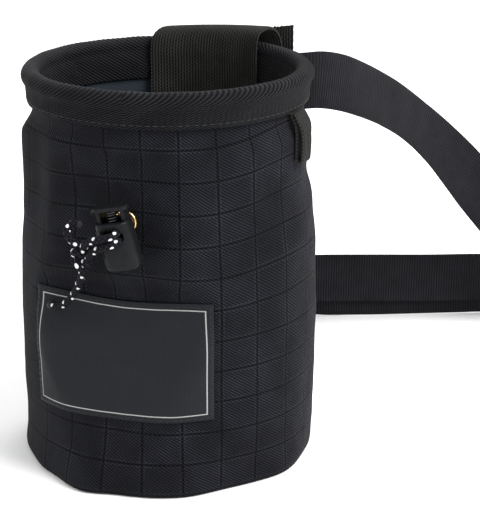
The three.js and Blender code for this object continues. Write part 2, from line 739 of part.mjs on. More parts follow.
function eyeletShape() {
  const outer = eyeletDiameter / 2;
  const back = shellWall + clothGap;
  const profile = [
    [eyeletBore, -back], [eyeletBarrel, -back], [eyeletBarrel, 0], [outer - 0.2, 0], [outer, eyeletFlange * 0.35],
    [outer - 0.5, eyeletFlange * 0.9], [outer - 1.1, eyeletFlange], [eyeletBore + 0.25, eyeletFlange * 0.6],
    [eyeletBore, 0], [eyeletBore, -back],
  ].map(([radius, along]) => new THREE.Vector2(radius, along));
  const turned = new THREE.LatheGeometry(profile, 16);
  turned.deleteAttribute('normal');
  turned.deleteAttribute('uv');
  const points = turned.getAttribute('position');
  const list = Array.from({ length: points.count }, (unused, at) => new THREE.Vector3().fromBufferAttribute(points, at));
  const index = Array.from(turned.index.array);
  const triangles = Array.from({ length: index.length / 3 }, (unused, at) => index.slice(at * 3, at * 3 + 3));
  const solid = solidOf(list, triangles);
  solid.applyMatrix4(eyeletPlace);
  return solid;
}

function cordShape(points, diameter) {
  const curve = new THREE.CatmullRomCurve3(points.map((point) => new THREE.Vector3(...point)), false, 'centripetal');
  const section = new THREE.Shape(Array.from({ length: cordSides }, (unused, side) => {
    const turn = 2 * Math.PI * side / cordSides;
    return new THREE.Vector2(Math.cos(turn), Math.sin(turn)).multiplyScalar(diameter / 2);
  }));
  const steps = Math.ceil(curve.getLength() / (diameter * 0.9));
  return new THREE.ExtrudeGeometry(section, { steps, extrudePath: curve, bevelEnabled: false });
}

function knotShape() {
  const ball = new THREE.SphereGeometry(knotDiameter / 2, 12, 8);
  ball.deleteAttribute('normal');
  ball.deleteAttribute('uv');
  const merged = mergeVertices(ball, 1e-4);
  const place = merged.getAttribute('position');
  const points = Array.from({ length: place.count }, (unused, at) => {
    const point = new THREE.Vector3().fromBufferAttribute(place, at);
    const turn = Math.atan2(point.z, point.x);
    point.multiplyScalar(1 + 0.04 * Math.cos(3 * turn + point.y));
    return point.add(knotCentre);
  });
  const index = Array.from(merged.index.array);
  const triangles = Array.from({ length: index.length / 3 }, (unused, at) => index.slice(at * 3, at * 3 + 3));
  return solidOf(points, triangles);
}

const holeHeight = lockHeight * 0.745;
const strandStack = cordDiameter + 0.1;
const cavityHalf = lockWidth / 2 - lockWall;
const legOutside = cavityHalf - runningGap;
const legInside = legOutside - legWidth;
const cordHoleHalf = legInside + 0.45;
const bridgeBottom = holeHeight + strandStack + 0.4;
const bridgeTop = bridgeBottom + 1.1;
const barTop = holeHeight - strandStack - 0.4;
const barBottom = barTop - 1.7;
const capBottom = lockHeight + capLift;

const lockSections = [
  { height: 0.00, width: 0.58, depth: 0.55 },
  { height: 0.03, width: 0.80, depth: 0.78 },
  { height: 0.10, width: 0.96, depth: 0.94 },
  { height: 0.24, width: 1.00, depth: 1.00 },
  { height: 0.80, width: 0.97, depth: 0.97 },
  { height: 0.97, width: 0.96, depth: 0.95 },
  { height: 1.00, width: 0.93, depth: 0.91 },
];

function lockBodyShape() {
  const sides = 24;
  const squareness = 0.62;
  const rounded = (value) => Math.sign(value) * Math.abs(value) ** squareness;
  const points = [];
  const triangles = [];
  for (const section of lockSections) {
    for (let side = 0; side < sides; side += 1) {
      const turn = 2 * Math.PI * side / sides;
      points.push(new THREE.Vector3(
        rounded(Math.cos(turn)) * section.width * lockWidth / 2,
        rounded(Math.sin(turn)) * section.depth * lockDepth / 2,
        section.height * lockHeight,
      ));
    }
  }
  const last = lockSections.length - 1;
  for (let row = 0; row < last; row += 1) {
    for (let side = 0; side < sides; side += 1) {
      const next = (side + 1) % sides;
      const low = row * sides;
      const high = low + sides;
      triangles.push([low + side, low + next, high + next], [low + side, high + next, high + side]);
    }
  }
  points.push(new THREE.Vector3(0, 0, 0), new THREE.Vector3(0, 0, lockHeight));
  for (let side = 0; side < sides; side += 1) {
    const next = (side + 1) % sides;
    triangles.push([points.length - 2, next, side]);
    triangles.push([points.length - 1, last * sides + side, last * sides + next]);
  }
  let body = toManifold(solidOf(points, triangles));
  const chamberDepth = plungerDepth / 2 + runningGap;
  const above = lockHeight + 1;
  const lug = block([-lockWidth / 2 - 1.2, -1.4, holeHeight - 1.6], [-lockWidth / 2 + 0.6, 1.4, holeHeight + 1.8]);
  body = body.add(toManifold(lug));
  const hole = new THREE.CylinderGeometry(1, 1, lockDepth * 1.2, 16);
  hole.scale(cordHoleHalf, 1, strandStack + 0.5);
  hole.translate(0, 0, holeHeight);
  const cuts = [
    block([-cavityHalf, -chamberDepth, lockWall], [cavityHalf, chamberDepth, bridgeBottom]),
    block([-cavityHalf, -chamberDepth, bridgeBottom - 0.1], [-legInside + 0.3, chamberDepth, above]),
    block([legInside - 0.3, -chamberDepth, bridgeBottom - 0.1], [cavityHalf, chamberDepth, above]),
    block([-cavityHalf, -chamberDepth, bridgeTop], [cavityHalf, chamberDepth, above]),
    hole,
  ];
  for (const cut of cuts) body = body.subtract(toManifold(cut));
  return fromManifold(body);
}

function plungerShape() {
  const deep = plungerDepth / 2;
  const capHalf = lockWidth / 2 - 0.2;
  const capOutline = new THREE.Shape();
  const corner = capDepth * 0.3;
  capOutline.moveTo(-capHalf + corner, -capDepth / 2);
  capOutline.lineTo(capHalf - corner, -capDepth / 2);
  capOutline.quadraticCurveTo(capHalf, -capDepth / 2, capHalf, 0);
  capOutline.quadraticCurveTo(capHalf, capDepth / 2, capHalf - corner, capDepth / 2);
  capOutline.lineTo(-capHalf + corner, capDepth / 2);
  capOutline.quadraticCurveTo(-capHalf - 0.6, capDepth / 2, -capHalf - 0.6, 0);
  capOutline.quadraticCurveTo(-capHalf - 0.6, -capDepth / 2, -capHalf + corner, -capDepth / 2);
  const cap = new THREE.ExtrudeGeometry(capOutline, { depth: capThickness, bevelEnabled: false, curveSegments: 4 });
  cap.translate(0, 0, capBottom);
  const pieces = [
    block([-legOutside, -deep, barBottom], [-legInside, deep, capBottom + 0.5]),
    block([legInside, -deep, barBottom], [legOutside, deep, capBottom + 0.5]),
    block([-legOutside, -deep, barBottom], [legOutside, deep, barTop]),
  ];
  let plunger = toManifold(cap);
  for (const piece of pieces) plunger = plunger.add(toManifold(piece));
  return fromManifold(plunger);
}

function springShape() {
  const radius = plungerDepth / 2 - springWire / 2;
  const low = bridgeTop + 0.2 + springWire / 2;
  const high = capBottom - 0.2 - springWire / 2;
  const steps = Math.round(springTurns * springStepsPerTurn);
  const points = Array.from({ length: steps + 1 }, (unused, step) => {
    const turn = 2 * Math.PI * springTurns * step / steps;
    return [radius * Math.cos(turn), radius * Math.sin(turn), mix(low, high, step / steps)];
  });
  const curve = new THREE.CatmullRomCurve3(points.map((point) => new THREE.Vector3(...point)));
  const wire = new THREE.Shape(Array.from({ length: springSides }, (unused, side) => {
    const turn = 2 * Math.PI * side / springSides;
    return new THREE.Vector2(Math.cos(turn), Math.sin(turn)).multiplyScalar(springWire / 2);
  }));
  return new THREE.ExtrudeGeometry(wire, { steps, extrudePath: curve, bevelEnabled: false });
}

// Materials

const ripstop = finish(0x2c2e33, 0.85);
const twill = finish(0x2a2c30, 0.8);
const liningCloth = finish(0x1d2328, 0.7);
const satin = finish(0x2e3034, 0.5);
const heavyWebbing = finish(0x242424, 0.85);
const beltWebbing = finish(0x242428, 0.75);
const blackPlastic = finish(0x272a2c, 0.45);
const cordCover = finish(0x2a2a2c, 0.8);
const brass = finish(0xc8963c, 0.3, 1);
const steel = finish(0x8a8a8c, 0.35, 1);

// Assembly

const chalkBag = new THREE.Group();
chalkBag.add(
  part('base_panel', basePanelShape(), ripstop),
  part('shell', shellShape(), ripstop),
  part('lining', liningShape(), liningCloth),
  part('rim_binding', bindingShape(), twill),
  part('label_patch', labelShape(), satin),
  part('back_loop', webbingShape(backLoopSections(), loopAngle, 0, 7), heavyWebbing),
  part('back_loop_outer_ply', webbingShape(outerPlySections(), loopAngle, outerPlyShift, 7), heavyWebbing),
  part('side_loop', tapeLoopShape(), heavyWebbing),
  part('belt', beltShape(), beltWebbing),
  part('belt_buckle', buckleShape(), blackPlastic),
  part('eyelet', eyeletShape(), brass),
  part('cord_strand_upper', cordShape(strandUpper, cordDiameter), cordCover),
  part('cord_strand_lower', cordShape(strandLower, cordDiameter), cordCover),
  part('cord_knot', knotShape(), cordCover),
  part('cord_tail_short', cordShape(tailShort, cordDiameter), cordCover),
  part('cord_tail_long', cordShape(tailLong, cordDiameter), cordCover),
);

const cordLock = new THREE.Group();
cordLock.position.copy(lockSeat);
cordLock.rotation.set(radians(lockPitch), radians(lockLean), 0);
cordLock.add(
  part('cord_lock_body', lockBodyShape(), blackPlastic),
  part('cord_lock_plunger', plungerShape(), blackPlastic),
  part('lock_spring', springShape(), steel),
);
chalkBag.add(cordLock);

export default chalkBag;
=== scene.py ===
import json
import math
import bmesh
import bpy
from math import radians
from mathutils import Matrix, Vector, noise

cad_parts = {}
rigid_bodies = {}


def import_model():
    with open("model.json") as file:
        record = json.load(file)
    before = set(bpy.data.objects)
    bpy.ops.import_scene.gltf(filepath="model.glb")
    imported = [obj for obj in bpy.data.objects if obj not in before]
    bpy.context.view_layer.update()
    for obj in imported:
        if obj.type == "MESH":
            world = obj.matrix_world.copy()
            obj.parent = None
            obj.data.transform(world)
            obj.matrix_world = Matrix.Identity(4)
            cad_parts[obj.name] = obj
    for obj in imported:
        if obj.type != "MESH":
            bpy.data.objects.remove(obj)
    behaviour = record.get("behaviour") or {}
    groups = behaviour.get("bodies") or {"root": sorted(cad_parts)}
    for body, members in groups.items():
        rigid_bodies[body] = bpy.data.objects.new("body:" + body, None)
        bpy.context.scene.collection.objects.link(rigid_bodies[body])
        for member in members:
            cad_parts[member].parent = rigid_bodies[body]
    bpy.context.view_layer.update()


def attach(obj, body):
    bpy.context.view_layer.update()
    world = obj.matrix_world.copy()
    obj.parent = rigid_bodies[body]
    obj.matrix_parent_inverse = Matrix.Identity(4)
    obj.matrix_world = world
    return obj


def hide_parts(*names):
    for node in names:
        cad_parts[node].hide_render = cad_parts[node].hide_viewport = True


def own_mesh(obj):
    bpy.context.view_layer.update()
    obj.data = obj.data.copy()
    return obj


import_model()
mm = 0.001  # every size below is in millimetres, and meshes are made in metres
print("frame loaded")

# ---- camera, light and floor ----

camera = {"place": (0.2191, -0.6950, 0.3192), "tilt": 71.91, "turn": 15.17, "lens": 125.2}
studio = {
    "world": 0.95,
    "key": {"place": (0.85, -0.25, 0.95), "size": 0.7, "watts": 18.0},
    "fill": {"place": (-0.85, -0.75, 0.60), "size": 1.0, "watts": 1.5},
    "back": {"place": (0.10, 0.95, 1.00), "size": 0.8, "watts": 8.0},
}


def setCamera():
    lens = bpy.data.cameras.new("photoCamera")
    lens.lens = camera["lens"]
    lens.sensor_width = 36
    holder = bpy.data.objects.new("photoCamera", lens)
    holder.location = camera["place"]
    holder.rotation_euler = (radians(camera["tilt"]), 0, radians(camera["turn"]))
    bpy.context.scene.collection.objects.link(holder)
    bpy.context.scene.camera = holder


def softLight(name, place, size, watts):
    lamp = bpy.data.lights.new(name, "AREA")
    lamp.shape = "DISK"
    lamp.size = size
    lamp.energy = watts
    holder = bpy.data.objects.new(name, lamp)
    holder.location = place
    aim = Vector((0, 0, 0.08)) - Vector(place)
    holder.rotation_euler = aim.to_track_quat("-Z", "Y").to_euler()
    bpy.context.scene.collection.objects.link(holder)


def setStudio():
    bpy.context.scene.view_settings.view_transform = "Standard"
    world = bpy.data.worlds.new("paleRoom")
    world.use_nodes = True
    world.node_tree.nodes["Background"].inputs["Color"].default_value = (1, 1, 1, 1)
    world.node_tree.nodes["Background"].inputs["Strength"].default_value = studio["world"]
    bpy.context.scene.world = world
    for name in ("key", "fill", "back"):
        softLight(name + "Light", **studio[name])


setCamera()
setStudio()

# ---- node helpers ----


def feed(tree, socket, term):
    if isinstance(term, bpy.types.NodeSocket):
        tree.links.new(term, socket)
    else:
        socket.default_value = term


def calc(tree, operation, *terms, clamp=False):
    node = tree.nodes.new("ShaderNodeMath")
    node.operation = operation
    node.use_clamp = clamp
    for socket, term in zip(node.inputs, terms):
        feed(tree, socket, term)
    return node.outputs[0]


def wave(tree, phase):  # 0 to 1, once a turn of phase
    turned = calc(tree, "MULTIPLY", phase, 2 * math.pi)
    return calc(tree, "MULTIPLY_ADD", calc(tree, "COSINE", turned), 0.5, 0.5)


def noiseOf(tree, vector, scale, detail=3.0, roughness=0.5):
    node = tree.nodes.new("ShaderNodeTexNoise")
    tree.links.new(vector, node.inputs["Vector"])
    node.inputs["Scale"].default_value = scale
    node.inputs["Detail"].default_value = detail
    node.inputs["Roughness"].default_value = roughness
    return node.outputs["Fac"]


def blendColours(tree, factor, first, second, mode="MIX"):
    node = tree.nodes.new("ShaderNodeMix")
    node.data_type = "RGBA"
    node.blend_type = mode
    feed(tree, node.inputs["Factor"], factor)
    feed(tree, node.inputs[6], first)
    feed(tree, node.inputs[7], second)
    return node.outputs[2]


def splitXY(tree, vector):
    node = tree.nodes.new("ShaderNodeSeparateXYZ")
    tree.links.new(vector, node.inputs[0])
    return node.outputs[0], node.outputs[1]


def startGroup(name, inputs, outputs):
    tree = bpy.data.node_groups.new(name, "ShaderNodeTree")
    for label, kind, value in inputs:
        socket = tree.interface.new_socket(name=label, in_out="INPUT", socket_type="NodeSocket" + kind)
        if value is not None:
            socket.default_value = value
    for label, kind in outputs:
        tree.interface.new_socket(name=label, in_out="OUTPUT", socket_type="NodeSocket" + kind)
    return tree, tree.nodes.new("NodeGroupInput").outputs, tree.nodes.new("NodeGroupOutput").inputs


# Slanting cords of a twill, each made of short floats. Across and Up are waves per millimetre. Light is the cords'
# height used as painted light, stronger in random patches.
def makeTwillGroup():
    tree, given, out = startGroup(
        "twillCords",
        [("Cloth", "Vector", None), ("Across", "Float", 0.4), ("Up", "Float", 0.8),
         ("Float Length", "Float", 1.4)],
        [("Height", "Float"), ("Light", "Float")],
    )
    x, y = splitXY(tree, given["Cloth"])
    phase = calc(tree, "ADD", calc(tree, "MULTIPLY", x, given["Across"]),
                 calc(tree, "MULTIPLY", y, given["Up"]))
    cords = wave(tree, phase)
    along = calc(tree, "SUBTRACT", calc(tree, "MULTIPLY", x, given["Up"]),
                 calc(tree, "MULTIPLY", y, given["Across"]))
    floats = wave(tree, calc(tree, "DIVIDE", along, given["Float Length"]))
    height = calc(tree, "MULTIPLY", cords, calc(tree, "MULTIPLY_ADD", floats, 0.35, 0.65))
    # random patches where the painted light on the raised cords is stronger
    lightPatches = noiseOf(tree, given["Cloth"], 0.09, 2.0)
    feed(tree, out["Height"], height)
    feed(tree, out["Light"], calc(tree, "MULTIPLY", height, calc(tree, "MULTIPLY_ADD", lightPatches, 1.2, 0.4)))
    return tree


# The sewn-in grid: dark dotted lines with pale dots beside them
def makeGridGroup():
    tree, given, out = startGroup(
        "sewnGrid",
        [("Cloth", "Vector", None), ("Column Gap", "Float", 15.9), ("Row Gap", "Float", 12.9)],
        [("Line", "Float"), ("Dots", "Float")],
    )
    x, y = splitXY(tree, given["Cloth"])
    lines, dots = [], []
    for side, other, gap in ((x, y, given["Column Gap"]), (y, x, given["Row Gap"])):
        near = calc(tree, "PINGPONG", side, calc(tree, "MULTIPLY", gap, 0.5))
        dash = wave(tree, calc(tree, "DIVIDE", other, 1.75))
        line = calc(tree, "SUBTRACT", 1.7, calc(tree, "DIVIDE", near, 0.40), clamp=True)
        lines.append(calc(tree, "MULTIPLY", line, calc(tree, "MULTIPLY_ADD", dash, 0.65, 0.35)))
        beside = calc(tree, "ABSOLUTE", calc(tree, "SUBTRACT", near, 0.80))
        row = calc(tree, "SUBTRACT", 1.3, calc(tree, "DIVIDE", beside, 0.45), clamp=True)
        dots.append(calc(tree, "MULTIPLY", row, calc(tree, "POWER", dash, 1.5)))
    feed(tree, out["Line"], calc(tree, "MAXIMUM", *lines))
    cloudy = calc(tree, "SUBTRACT", noiseOf(tree, given["Cloth"], 0.06, 2.0), 0.38, clamp=True)
    seen = calc(tree, "MULTIPLY", cloudy, 4.0, clamp=True)
    feed(tree, out["Dots"], calc(tree, "MULTIPLY", calc(tree, "MAXIMUM", *dots), seen))
    return tree


# Plain woven webbing: warp cords side by side, crossed by picks. Light is the height used as painted light on the
# raised cords, stronger in random patches.
def makeWebbingGroup():
    tree, given, out = startGroup(
        "webbingWeave",
        [("Cloth", "Vector", None), ("Cord Gap", "Float", 1.25), ("Pick Gap", "Float", 1.5)],
        [("Height", "Float"), ("Light", "Float")],
    )
    x, y = splitXY(tree, given["Cloth"])
    across = calc(tree, "DIVIDE", x, given["Cord Gap"])
    along = calc(tree, "DIVIDE", y, given["Pick Gap"])
    cords = wave(tree, across)
    picks = wave(tree, calc(tree, "ADD", along, calc(tree, "MULTIPLY", calc(tree, "FLOOR", across), 0.5)))
    height = calc(tree, "MULTIPLY", calc(tree, "POWER", cords, 0.6),
                  calc(tree, "MULTIPLY_ADD", picks, 0.6, 0.4))
    # random patches where the painted light on the raised cords is stronger
    lightPatches = noiseOf(tree, given["Cloth"], 0.12, 3.0)
    feed(tree, out["Height"], height)
    feed(tree, out["Light"], calc(tree, "MULTIPLY", height, calc(tree, "MULTIPLY_ADD", lightPatches, 1.3, 0.35)))
    return tree


# Painted weave light and lint over any cloth: Light mixes Base, painted shade in the hollows, towards Thread, the
# lit crests, more in broad random patches. Gives a colour and a roughness
def makeWeaveLightAndLintGroup():
    tree, given, out = startGroup(
        "weaveLightAndLint",
        [("Cloth", "Vector", None), ("Base", "Color", (0.03, 0.03, 0.03, 1)),
         ("Thread", "Color", (0.06, 0.06, 0.06, 1)), ("Light", "Float", 0.5), ("Roughness", "Float", 0.8)],
        [("Color", "Color"), ("Roughness", "Float")],
    )
    cloudy = noiseOf(tree, given["Cloth"], 0.035, 4.0)
    lint = noiseOf(tree, given["Cloth"], 1.7, 2.0, 0.7)
    # painted light and shade of the weave, scaled by broad random patches
    lit = calc(tree, "MULTIPLY", given["Light"], calc(tree, "MULTIPLY_ADD", cloudy, 0.9, 0.35), clamp=True)
    threads = blendColours(tree, lit, given["Base"], given["Thread"])
    speck = calc(tree, "MULTIPLY", calc(tree, "SUBTRACT", lint, 0.66, clamp=True), 0.9)
    feed(tree, out["Color"], blendColours(tree, speck, threads, (0.22, 0.22, 0.23, 1)))
    feed(tree, out["Roughness"],
         calc(tree, "MULTIPLY_ADD", calc(tree, "SUBTRACT", cloudy, 0.5), 0.16, given["Roughness"]))
    return tree


# Fine moulded grain with rubbed patches, for plastic and metal
def makeMouldedGroup():
    tree, given, out = startGroup(
        "mouldedGrain",
        [("Place", "Vector", None), ("Base", "Color", (0.03, 0.03, 0.03, 1)),
         ("Rubbed", "Color", (0.06, 0.06, 0.06, 1)), ("Grain", "Float", 9000.0), ("Roughness", "Float", 0.4)],
        [("Color", "Color"), ("Roughness", "Float"), ("Height", "Float")],
    )
    grain = tree.nodes.new("ShaderNodeTexNoise")
    tree.links.new(given["Place"], grain.inputs["Vector"])
    tree.links.new(given["Grain"], grain.inputs["Scale"])
    rubbed = noiseOf(tree, given["Place"], 420.0, 4.0, 0.6)
    patch = calc(tree, "MULTIPLY", calc(tree, "SUBTRACT", rubbed, 0.42, clamp=True), 2.2, clamp=True)
    feed(tree, out["Color"], blendColours(tree, patch, given["Base"], given["Rubbed"]))
    feed(tree, out["Roughness"],
         calc(tree, "MULTIPLY_ADD", calc(tree, "SUBTRACT", 0.5, rubbed), 0.25, given["Roughness"]))
    feed(tree, out["Height"], grain.outputs["Fac"])
    return tree


twillGroup = makeTwillGroup()
gridGroup = makeGridGroup()
webbingGroup = makeWebbingGroup()
weaveLightAndLintGroup = makeWeaveLightAndLintGroup()
mouldedGroup = makeMouldedGroup()


def startMaterial(name):
    material = bpy.data.materials.new(name)
    material.use_nodes = True
    tree = material.node_tree
    return material, tree, tree.nodes["Principled BSDF"]


def useGroup(tree, group, **values):
    node = tree.nodes.new("ShaderNodeGroup")
    node.node_tree = group
    for label, term in values.items():
        feed(tree, node.inputs[label.replace("_", " ")], term)
    return node.outputs


def clothMap(tree):
    node = tree.nodes.new("ShaderNodeUVMap")
    node.uv_map = "clothMap"
    return node.outputs[0]


def objectPlace(tree):
    return tree.nodes.new("ShaderNodeTexCoord").outputs["Object"]


def bumpInto(tree, shader, height, distance, strength=1.0):
    node = tree.nodes.new("ShaderNodeBump")
    node.inputs["Strength"].default_value = strength
    node.inputs["Distance"].default_value = distance
    tree.links.new(height, node.inputs["Height"])
    tree.links.new(node.outputs[0], shader.inputs["Normal"])


# Cloth colour with painted light: the weave's hollows keep the dark base as painted shade, its crests take the
# thread colour as painted light
def dressCloth(tree, shader, cloth, light, base, thread, roughness, sheen, tint=(1, 1, 1, 1)):
    lightAndLint = useGroup(tree, weaveLightAndLintGroup, Cloth=cloth, Base=base, Thread=thread, Light=light,
                       Roughness=roughness)
    tree.links.new(lightAndLint["Roughness"], shader.inputs["Roughness"])
    shader.inputs["Sheen Weight"].default_value = sheen
    shader.inputs["Sheen Roughness"].default_value = 0.45
    shader.inputs["Sheen Tint"].default_value = tint
    shader.inputs["Specular IOR Level"].default_value = 0.06
    return lightAndLint["Color"]


# base is painted shade in the weave's hollows, thread the tone of its lit crests
ripstop = {
    "base": (0.0022, 0.0023, 0.0030, 1), "thread": (0.021, 0.022, 0.029, 1), "line": (0.0006, 0.0006, 0.0008, 1),
}


def makeRipstop():
    material, tree, shader = startMaterial("ripstopCloth")
    cloth = clothMap(tree)
    twill = useGroup(tree, twillGroup, Cloth=cloth, Across=0.55, Up=0.80, Float_Length=1.3)
    grid = useGroup(tree, gridGroup, Cloth=cloth, Column_Gap=15.87, Row_Gap=12.93)
    # the painted light on the twill shows more in some random patches than in others
    patch = calc(tree, "MULTIPLY_ADD", noiseOf(tree, cloth, 0.035, 2.0), 2.4, -0.55, clamp=True)
    shown = calc(tree, "MULTIPLY", twill["Light"], calc(tree, "MULTIPLY_ADD", patch, 0.65, 0.45))
    # the grid's pale dots join the painted light on the weave
    light = calc(tree, "ADD", shown, calc(tree, "MULTIPLY", grid["Dots"], 1.1), clamp=True)
    colour = dressCloth(tree, shader, cloth, light, ripstop["base"], ripstop["thread"], 0.78, 0.02)
    tree.links.new(blendColours(tree, grid["Line"], colour, ripstop["line"]), shader.inputs["Base Color"])
    proud = calc(tree, "ADD", twill["Height"], calc(tree, "MULTIPLY", grid["Dots"], 0.6))
    bumpInto(tree, shader, calc(tree, "SUBTRACT", proud, grid["Line"]), 0.00022)
    return material


# base, near black, is painted shade between the ribs; thread is the ribs' tone with painted highlight
binding = {
    "base": (0.0006, 0.0006, 0.0008, 1), "thread": (0.0225, 0.0230, 0.0265, 1),
    "ribGap": 2.3, "depth": 14.5, "innerDepth": 17.5, "setback": 2.2, "wall": 1.5, "rollRadius": 3.8,
}


def makeBindingTwill():
    material, tree, shader = startMaterial("bindingTwill")
    cloth = clothMap(tree)
    ribs = useGroup(tree, twillGroup, Cloth=cloth, Across=1 / binding["ribGap"], Up=0.0, Float_Length=0.45)
    # ribs painted lighter than the grooves between them: painted light
    colour = dressCloth(tree, shader, cloth, ribs["Light"], binding["base"], binding["thread"], 0.74, 0.02)
    tree.links.new(colour, shader.inputs["Base Color"])
    bumpInto(tree, shader, ribs["Height"], 0.00030)
    return material


def makeLiningCloth():
    material, tree, shader = startMaterial("liningCloth")
    cloth = clothMap(tree)
    twill = useGroup(tree, twillGroup, Cloth=cloth, Across=0.0, Up=1.6, Float_Length=0.6)
    # the twill's raised lines painted lighter than its hollows: painted light
    colour = dressCloth(tree, shader, cloth, twill["Light"],
                        (0.014, 0.019, 0.024, 1), (0.044, 0.056, 0.070, 1), 0.5, 0.03)
    tree.links.new(colour, shader.inputs["Base Color"])
    bumpInto(tree, shader, twill["Height"], 0.00006)
    return material


label = {
    "width": 80.0, "height": 51.0, "bottom": 31.0, "rise": 2.2, "sag": 2.8, "angle": -5.0, "thick": 0.9,
    "borderIn": 2.9, "borderWide": 0.64, "base": (0.0115, 0.0125, 0.0145, 1),
    "thread": (0.0200, 0.0215, 0.0250, 1), "silver": (0.40, 0.41, 0.40, 1),
}


def makeLabelSatin():
    material, tree, shader = startMaterial("labelSatin")
    cloth = clothMap(tree)
    x, y = splitXY(tree, cloth)
    satin = useGroup(tree, twillGroup, Cloth=cloth, Across=0.0, Up=2.4, Float_Length=3.5)
    # the satin floats painted lighter than the hollows between them: painted sheen lines
    colour = dressCloth(tree, shader, cloth, satin["Light"], label["base"], label["thread"], 0.42, 0.01)
    fromSide = calc(tree, "SUBTRACT", label["width"] / 2, calc(tree, "ABSOLUTE", x))
    fromEnd = calc(tree, "SUBTRACT", label["height"] / 2, calc(tree, "ABSOLUTE", y))
    inside = calc(tree, "MINIMUM", fromSide, fromEnd)
    off = calc(tree, "ABSOLUTE", calc(tree, "SUBTRACT", inside, label["borderIn"]))
    line = calc(tree, "MULTIPLY", calc(tree, "SUBTRACT", label["borderWide"] / 2, off), 6.0, clamp=True)
    threads = calc(tree, "MULTIPLY_ADD", noiseOf(tree, cloth, 1.9, 2.0), 0.5, 0.6, clamp=True)
    border = calc(tree, "MULTIPLY", line, threads)
    tree.links.new(blendColours(tree, border, colour, label["silver"]), shader.inputs["Base Color"])
    bumpInto(tree, shader, calc(tree, "ADD", satin["Height"], calc(tree, "MULTIPLY", line, 1.5)), 0.00007)
    return material


def makeWebbing(name, cordGap, pickGap, base, thread, depth):
    material, tree, shader = startMaterial(name)
    cloth = clothMap(tree)
    weave = useGroup(tree, webbingGroup, Cloth=cloth, Cord_Gap=cordGap, Pick_Gap=pickGap)
    # the weave's raised cords painted lighter than the hollows: painted light
    colour = dressCloth(tree, shader, cloth, weave["Light"], base, thread, 0.8, 0.02)
    tree.links.new(colour, shader.inputs["Base Color"])
    bumpInto(tree, shader, weave["Height"], depth)
    return material


cord = {
    "diameter": 3.0, "knotSize": 1.36, "knotFuller": 1.1,
    "base": (0.002, 0.002, 0.0026, 1), "thread": (0.014, 0.014, 0.020, 1), "fleck": (0.72, 0.73, 0.74, 1),
    "carriers": 4, "braidPitch": 8.0,
}


# Braid: two sets of strands that wind opposite ways, with a bright thread in one of them
def makeBraid():
    material, tree, shader = startMaterial("braidedCord")
    cloth = clothMap(tree)
    turn, length = splitXY(tree, cloth)
    lengthTurns = calc(tree, "DIVIDE", length, cord["braidPitch"])
    right = calc(tree, "MULTIPLY", calc(tree, "ADD", turn, lengthTurns), cord["carriers"])
    left = calc(tree, "MULTIPLY", calc(tree, "SUBTRACT", turn, lengthTurns), cord["carriers"])
    over = wave(tree, calc(tree, "MULTIPLY", calc(tree, "ADD", right, left), 0.5))
    height = calc(tree, "ADD", calc(tree, "MULTIPLY", wave(tree, right), over),
                  calc(tree, "MULTIPLY", wave(tree, left), calc(tree, "SUBTRACT", 1.0, over)))
    # the strands' crests painted lighter than the hollows between them: painted light
    colour = dressCloth(tree, shader, cloth, height, cord["base"], cord["thread"], 0.72, 0.02)
    first = calc(tree, "FLOORED_MODULO", right, float(cord["carriers"]))
    across = calc(tree, "DIVIDE", calc(tree, "SUBTRACT", first, 0.5), 0.42)
    along = calc(tree, "DIVIDE", calc(tree, "SUBTRACT", calc(tree, "FLOORED_MODULO", left, 2.0), 1.0), 0.52)
    reach = calc(tree, "ADD", calc(tree, "MULTIPLY", across, across), calc(tree, "MULTIPLY", along, along))
    fleck = calc(tree, "MULTIPLY", calc(tree, "SUBTRACT", 1.15, reach, clamp=True), 5.0, clamp=True)
    tree.links.new(blendColours(tree, fleck, colour, cord["fleck"]), shader.inputs["Base Color"])
    bumpInto(tree, shader, height, 0.00025)
    return material


def makeMoulded(name, base, rubbed, roughness, grain, depth, metallic=0.0):
    material, tree, shader = startMaterial(name)
    moulded = useGroup(tree, mouldedGroup, Place=objectPlace(tree), Base=base, Rubbed=rubbed, Grain=grain,
                       Roughness=roughness)
    tree.links.new(moulded["Color"], shader.inputs["Base Color"])
    tree.links.new(moulded["Roughness"], shader.inputs["Roughness"])
    shader.inputs["Metallic"].default_value = metallic
    shader.inputs["Specular IOR Level"].default_value = 0.5 if metallic else 0.12
    bumpInto(tree, shader, moulded["Height"], depth)
    return material


def makeThread():
    material, tree, shader = startMaterial("sewingThread")
    moulded = useGroup(tree, mouldedGroup, Place=objectPlace(tree), Base=(0.002, 0.002, 0.0025, 1),
                       Rubbed=(0.008, 0.008, 0.010, 1), Grain=4000.0, Roughness=0.6)
    tree.links.new(moulded["Color"], shader.inputs["Base Color"])
    tree.links.new(moulded["Roughness"], shader.inputs["Roughness"])
    bumpInto(tree, shader, moulded["Height"], 0.00005)
    return material


def makeFloor():
    material, tree, shader = startMaterial("paleFloor")
    grain = noiseOf(tree, objectPlace(tree), 60.0, 3.0)
    colour = blendColours(tree, grain, (0.93, 0.93, 0.93, 1), (0.97, 0.97, 0.97, 1))
    tree.links.new(colour, shader.inputs["Base Color"])
    shader.inputs["Roughness"].default_value = 0.9
    return material


